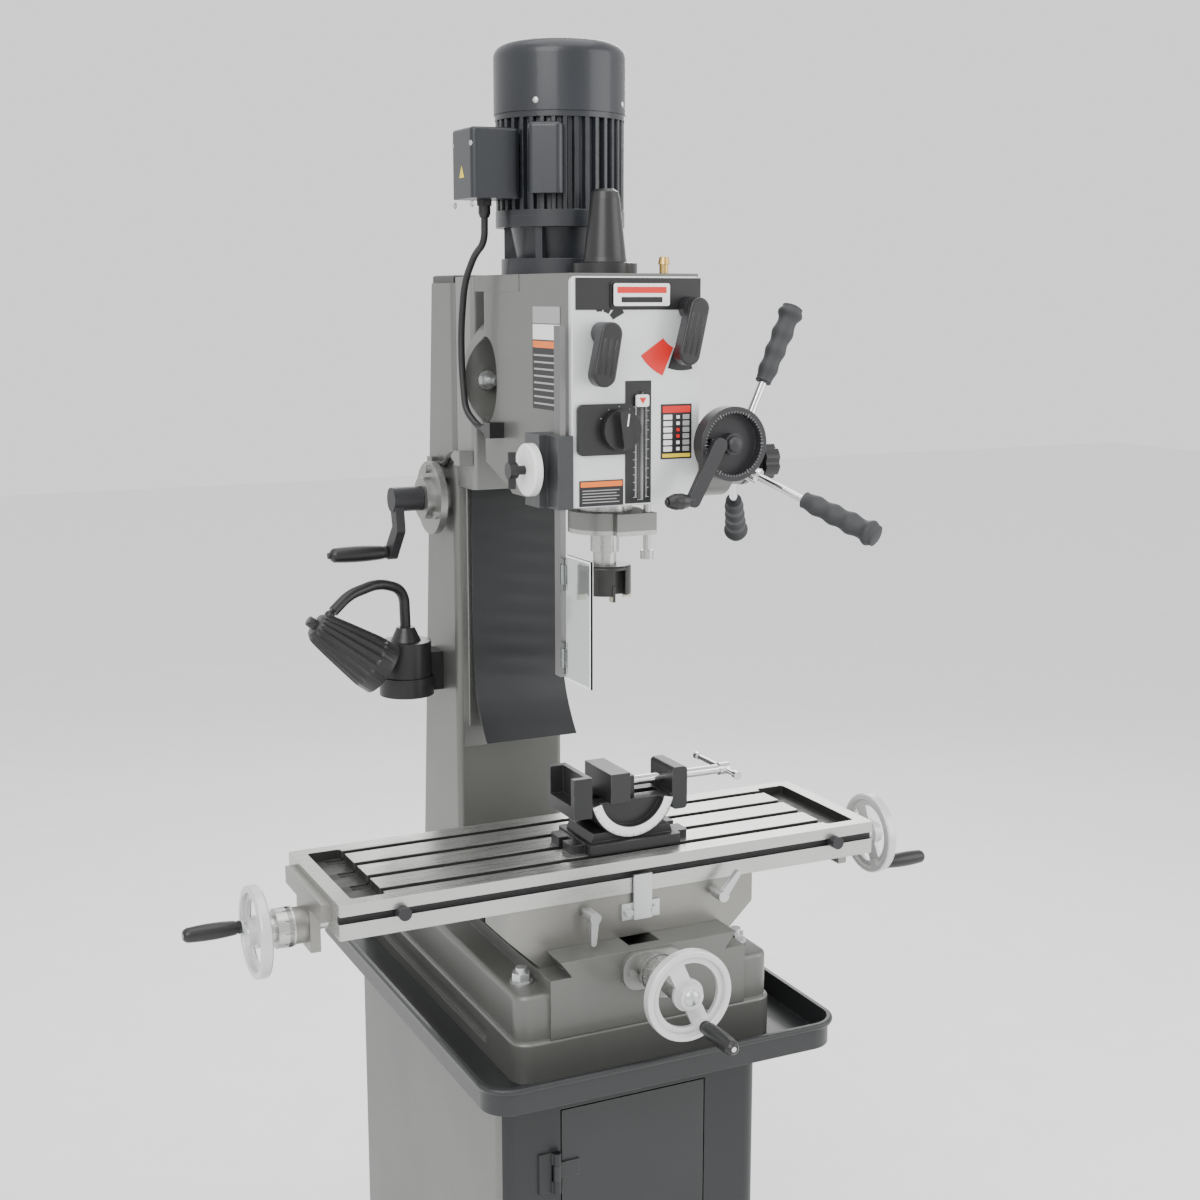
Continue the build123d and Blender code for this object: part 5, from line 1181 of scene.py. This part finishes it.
    def side_labels(self) -> None:
        """Plain labels on the head's left side."""
        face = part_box("head_panel")[0].x - 0.0004
        made = (
            ("side_label_top", (0.188, 1.769), (0.276, 1.791), Ink.GREY),
            ("side_label_white", (0.188, 1.7475), (0.276, 1.7675), Ink.WHITE),
            ("side_label_sheet", (0.186, 1.655), (0.278, 1.7465), Ink.BLACK),
            ("side_label_head", (0.188, 1.7365), (0.276, 1.7455), Ink.ORANGE),
        )
        for name, low, high, ink in made:
            lift = 0.0 if name == "side_label_sheet" else 0.0003
            piece = plate(
                name, rounded(low, high, 0.0012), face - lift, 0.0004, ink.finish(), self.body, Axis.X
            )
            self.keep(piece)
        for row in range(8):
            z = 1.661 + row * 0.0092
            outline = rounded((0.191, z), (0.273 - 0.009 * (row % 3), z + 0.0024), 0.0004)
            piece = plate(
                f"side_label_line_{row}", outline, face - 0.0003, 0.0004, Ink.GREY.finish(), self.body, Axis.X
            )
            self.keep(piece)

    def lever_ribs(self) -> None:
        """Finger ribs along the front of both gear levers."""
        levers = (
            ("left", "gear_lever_left", LEFT_LEVER, LEFT_TIP),
            ("right", "gear_lever_right", RIGHT_LEVER, RIGHT_TIP),
        )
        for side, node, place, tip in levers:
            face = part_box(node)[0].y
            along = Vector((tip[0] - place[0], 0, tip[1] - place[1]))
            unit = along.normalized()
            cross = Vector((-unit.z, 0, unit.x))
            for index in range(3):
                offset = cross * (index - 1) * 0.0084
                start = Vector((place[0], face + 0.001, place[1])) + offset + unit * 0.006
                end = Vector((tip[0], face + 0.001, tip[1])) + offset + unit * 0.002
                length = (end - start).length
                rows = [(0, 0), (0.0016, 0.0006), (0.0022, 0.003)]
                rows += [(0.0024, length - 0.003), (0.0014, length - 0.0004), (0, length)]
                made = lathe(f"lever_rib_{side}_{index}", rows, start, end - start, PLASTIC, node, around=16)
                self.keep(made)


@dataclass
class Motor(SubAssembly):
    """Motor, its covers and its leads."""

    name: str = "motor"

    def dress(self) -> None:
        """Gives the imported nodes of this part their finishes."""
        paint(MOTOR_BLACK, "motor_body", "motor_covers")
        paint(CABLE, "motor_lead", "supply_lead")

    def build(self) -> None:
        """Makes the extra pieces of this part."""
        self.keep(self.bending_lead())
        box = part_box("motor_covers")
        face = box[0].x - 0.0003
        made = plate(
            "terminal_label", [(0.072, 1.964), (0.090, 1.964), (0.081, 1.980)], face, 0.0004,
            Ink.YELLOW.finish(), "head", Axis.X
        )
        self.keep(made)
        rows = [(0, 0), (0.0042, 0), (0.0042, 0.002), (0.003, 0.003), (0, 0.0032)]
        for index, (y, z) in enumerate(((-0.113, 1.928), (-0.049, 1.928), (-0.113, 2.008), (-0.049, 2.008))):
            screw = lathe(
                f"terminal_screw_{index}", rows, Vector((box[0].x + 0.0028, y, z)), -Axis.X.vector, ZINC,
                "head", around=20
            )
            self.keep(screw)
        for index in range(4):
            turn = math.radians(45 + 90 * index)
            spot = Vector(
                (COVER_REACH * math.cos(turn), MOTOR_Y + COVER_REACH * math.sin(turn), COVER_SCREW_Z)
            )
            out = Vector((math.cos(turn), math.sin(turn), 0))
            screw = lathe(f"cover_screw_{index}", rows, spot - out * 0.0024, out, ZINC, "head", around=20)
            self.keep(screw)

    def bending_lead(self) -> bpy.types.Object:
        """The supply lead as a copy of the imported mesh, baked into the row frame, with the cable finish.

        Returns:
            The new object.
        """
        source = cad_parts["supply_lead"]
        made = into_scene("supply_lead_bend", source.data.copy())
        made.data.materials.clear()
        made.data.materials.append(CABLE.material())
        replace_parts(made, "supply_lead")
        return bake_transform(made)


@dataclass
class QuillFeed(SubAssembly):
    """Spoke hub, clutch knob and fine feed."""

    name: str = "quill feed"
    pivot: Point = (0.171, -0.264, 1.576)
    slope: float = 0.52
    turn: float = 6.3

    def dress(self) -> None:
        """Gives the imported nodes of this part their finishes."""
        paint(PLASTIC, "clutch_knob")
        paint(DULL_BLACK, "fine_feed_wheel")
        paint(PLASTIC, "fine_feed_grip")

    def point(self, index: int, reach: float) -> Vector:
        """A point on a spoke's line.

        Args:
            index: which spoke.
            reach: distance from the hub's axis.

        Returns:
            The point in the row frame.
        """
        turn = math.radians(self.turn - 120 * index)
        x, y, z = self.pivot
        return Vector((x + self.slope * reach, y + reach * math.sin(turn), z + reach * math.cos(turn)))

    def build(self) -> None:
        """Makes the extra pieces of this part."""
        y, z = self.pivot[1:]
        origin = Vector((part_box("feed_hub")[0].x, y, z))
        shaft = [
            (0, 0), (0.012, 0), (0.012, 0.044), (0.01, 0.045), (0.01, 0.138), (0.0254, 0.139),
            (0.0254, 0.155), (0.01, 0.156)
        ]
        shaft += [
            (0.01, 0.174), (0.028, 0.1745), (0.030, 0.177), (0.030, 0.205), (0.0315, 0.2065), (0.0315, 0.2125)
        ]
        shaft += [(0.030, 0.214), (0.027, 0.2205), (0.01, 0.221), (0.01, 0.2325), (0.0, 0.2325)]
        hub = lathe(
            "feed_hub_shaft", shaft, origin, Axis.X.vector,
            replace(TURNED, name="hub_steel", base=(0.16, 0.16, 0.16)), "feed_hub", around=64
        )
        self.keep(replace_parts(hub, "feed_hub"))
        for index in range(3):
            start, end = self.point(index, 0.012), self.point(index, 0.200)
            length = (end - start).length
            boss = [
                (0, 0), (0.0118, 0), (0.0118, 0.034), (0.010, 0.036), (0.006, 0.0365), (0.006, length),
                (0, length)
            ]
            self.keep(
                lathe(f"spoke_{index}", boss, start, end - start, CHROME, "feed_hub", around=32)
            )
            start, end = self.point(index, 0.110), self.point(index, 0.2148)
            length = (end - start).length
            rows = [(0.0, 0.0), (0.0105, 0.0), (0.0118, 0.0012)]
            bulges = [
                (0.16, 0.0026, 0.085), (0.41, 0.0028, 0.085), (0.66, 0.003, 0.085), (0.93, 0.0048, 0.06)
            ]
            rows += swells((0.0112, 0.003), (0.0136, length - 0.004), bulges, 54)
            rows += [(0.0150, length - 0.0015), (0.0120, length), (0.0, length)]
            grip = lathe(f"spoke_grip_{index}", rows, start, end - start, RUBBER, "feed_hub", around=40)
            self.keep(grip)
        rows = [(0, 0), (0.0105, 0), (0.0105, 0.004), (0.008, 0.007), (0.005, 0.0082), (0, 0.0085)]
        self.keep(
            lathe(
                "fine_feed_cap", rows, Vector((FINE_FEED[0], -0.3515, FINE_FEED[1])), -Axis.Y.vector,
                DULL_BLACK, "fine_feed_wheel"
            )
        )
        made = MARKS.make(
            "fine_feed_marks", facing_front(FINE_FEED[0], -0.3522, FINE_FEED[1]), "fine_feed_wheel", Count=60, Every=10, Pitch=0.0,
            Turn=math.tau / 60, Radius=0.0425, Short=(0.003, 0.0004, 0.0003), Long=(0.0055, 0.0006, 0.0003),
            Anchor=(0.0, 0, 0), Material=Ink.GREY.finish().material(),
        )
        self.keep(made)


@dataclass
class GuardAndLamp(SubAssembly):
    """Chip guard and work lamp."""

    name: str = "guard and lamp"

    def dress(self) -> None:
        """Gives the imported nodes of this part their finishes."""
        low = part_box("guard_bracket")[0]
        disc = Zone((low.x - 0.001, -0.30, 1.54), (low.x + 0.0118, -0.22, 1.62), Ink.WHITE.value, 0.4, 0.0)
        paint(
            replace(SHEET_BLACK, name="guard_block", base=(0.03, 0.032, 0.034), zones=(disc,)),
            "guard_bracket"
        )
        paint(PLASTIC, "guard_knob", "lamp_bracket", "lamp_arm")
        paint(replace(TURNED, name="rail_grey", base=(0.2, 0.2, 0.2), rough=0.4), "guard_rail")
        paint(CLEAR, "guard_shield")

    def build(self) -> None:
        """Makes the extra pieces of this part."""
        low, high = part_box("guard_shield")
        edge = 0.0022
        x = (low.x + high.x) / 2
        strips = (
            ("shield_edge_low", (x - 0.0021, low.y, low.z), (x + 0.0021, high.y - 0.012, low.z + edge)),
            ("shield_edge_top", (x - 0.0021, low.y, high.z - edge), (x + 0.0021, high.y - 0.012, high.z)),
            (
                "shield_edge_front", (x - 0.0021, low.y, low.z + edge),
                (x + 0.0021, low.y + edge, high.z - edge)
            ),
        )
        # Painted highlight: the near-white edge strips stand in for light caught in the clear shield's edges.
        edge_highlight = Finish("shield_edge_highlight", (0.86, 0.9, 0.89), 0.2, 0.0, 0.05, 300, 0.02, edge=0.0003)
        for name, start, end in strips:
            self.keep(cuboid(name, start, end, edge_highlight, "guard_shield"))
        self.lamp()

    def lamp(self) -> None:
        """Ribbed lamp head with its socket and bulb."""
        tail, mouth = Vector(LAMP_TAIL), Vector(LAMP_MOUTH)
        axis = mouth - tail
        length = axis.length
        rows = [
            (0, -0.012), (0.0072, -0.012), (0.008, -0.011), (0.009, 0.0), (0.018, 0.0012), (0.0215, 0.005)
        ]
        for step in range(25):
            share = step / 24
            rows.append((0.0245 + 0.0175 * share ** 0.85, 0.010 + (length * 0.8 - 0.010) * share))
        rows += [
            (0.042, length * 0.82), (0.042, length - 0.001), (0.041, length), (0.0385, length),
            (0.038, length * 0.84)
        ]
        rows += [(0.036, length * 0.72), (0.021, 0.026), (0, 0.024)]
        shade = lathe(
            "lamp_shade", rows, tail, axis, PLASTIC, "lamp_head", around=144, ribs=18, depth=0.0032,
            ribbed=(0.008, length * 0.81)
        )
        self.keep(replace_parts(shade, "lamp_head"))
        ball, radius = Vector(LAMP_BALL), LAMP_BALL_R
        stem = tail - ball
        turns = [math.pi * step / 16 for step in range(13)]
        rows = [(radius * math.sin(turn), -radius * math.cos(turn)) for turn in turns]
        rows += [(0.0052, 0.0065), (0.0048, stem.length)]
        self.keep(
            lathe("lamp_socket", rows + [(0, stem.length)], ball, stem, PLASTIC, "lamp_head")
        )
        bulb = [
            (0, 0.025), (0.013, 0.026), (0.0135, 0.042), (0.018, 0.055), (0.026, length * 0.68),
            (0.0255, length * 0.76)
        ]
        bulb += [(0.020, length * 0.85), (0.010, length * 0.895), (0, length * 0.9)]
        glass = Finish("bulb_white", (0.85, 0.85, 0.83), 0.25, 0.0, 0.03, 200, 0.02, edge=0.0003)
        self.keep(lathe("lamp_bulb", bulb, tail, axis, glass, "lamp_head"))


@dataclass
class Vise(SubAssembly):
    """Tilting vise on the table."""

    name: str = "vise"

    def dress(self) -> None:
        """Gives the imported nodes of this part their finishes."""
        base = replace(DULL_BLACK, name="vise_black", base=(0.016, 0.016, 0.017), rough=0.4, wear=0.5)
        paint(base, "vise_base", "vise_body")
        jaw = Zone((-0.02, -0.28, 1.106), (0.036, -0.16, 1.1475), (0.03, 0.03, 0.03), 0.4, 0.3)
        paint(replace(base, name="jaw_black", zones=(jaw,)), "vise_jaw")
        paint(CHROME, "vise_screw")

    def build(self) -> None:
        """Makes the extra pieces of this part."""
        band = sector(VISE_TILT, 0.051, 0.0645, 194, 346, 40)
        self.keep(
            plate("vise_arc", band, VISE_FACE - 0.0002, 0.0006, Ink.WHITE.finish(), "vise_body")
        )
        made = MARKS.make(
            "vise_arc_marks", facing_front(
                VISE_TILT[0], VISE_FACE - 0.0003, VISE_TILT[1]
            ) @ Matrix.Rotation(math.radians(200), 4, "Z"), "vise_body",
            Count=71, Every=5, Pitch=0.0, Turn=math.radians(2), Radius=0.0645,
            Short=(0.004, 0.0004, 0.0003), Long=(0.0075, 0.0006, 0.0003), Anchor=(0.0, 0.0, 0.0), Material=Ink.BLACK.finish().material(),
        )
        self.keep(made)


@dataclass
class Studio(SubAssembly):
    """Floor, soft light and camera."""

    name: str = "studio"
    eye: Point = (-1.020, -2.314, 1.805)
    yaw: float = 25.74
    pitch: float = 10.17
    lens: float = 50.88

    def build(self) -> None:
        """Makes the extra pieces of this part."""
        mesh = bpy.data.meshes.new("studio_floor")
        half, level = 14.0, CAD_LOW.z - 0.0005
        mesh.from_pydata(
            [(-half, -half, level), (half, -half, level), (half, half, level), (-half, half, level)], [],
            [(0, 1, 2, 3)]
        )
        mesh.materials.append(FLOOR.material())
        floor = into_scene("studio_floor", mesh)
        self.light("key_light", (-2.6, -2.6, 3.6), 2.6, 120.0)
        self.light("fill_light", (2.8, -2.4, 2.2), 2.8, 70.0)
        self.light("rim_light", (1.6, 2.8, 3.0), 2.0, 60.0)
        self.light("top_light", (0.0, -0.4, 4.4), 3.0, 60.0)
        world = bpy.data.worlds.new("studio_air")
        world.use_nodes = True
        back = world.node_tree.nodes["Background"]
        back.inputs["Color"].default_value = (1.0, 1.0, 1.0, 1.0)
        back.inputs["Strength"].default_value = 1.25
        bpy.context.scene.world = world
        camera = bpy.data.cameras.new("camera")
        camera.lens, camera.sensor_width = self.lens, 36.0
        camera.dof.use_dof = False
        camera.clip_start, camera.clip_end = 0.05, 60.0
        holder = into_scene("camera", camera)
        holder.location = self.eye
        holder.rotation_euler = (math.radians(90 - self.pitch), 0.0, math.radians(-self.yaw))
        bpy.context.scene.camera = holder

    def light(self, name: str, place: Point, size: float, power: float) -> None:
        """Adds a square soft light that looks at the machine's middle.

        Args:
            name: light name.
            place: its position.
            size: side length.
            power: power in watts.
        """
        lamp = bpy.data.lights.new(name, "AREA")
        lamp.shape, lamp.size, lamp.energy = "SQUARE", size, power
        holder = into_scene(name, lamp)
        holder.location = place
        aim = Vector((0.0, -0.1, 1.3)) - Vector(place)
        holder.rotation_euler = aim.to_track_quat("-Z", "Y").to_euler()


def main() -> None:
    """Builds the machine's looks part by part."""
    for part in (
        StandAndBase(), TableAndSaddle(), Head(), Motor(), QuillFeed(), GuardAndLamp(), Vise(), Studio()
    ):
        part.run()


if __name__ == "__main__":
    main()
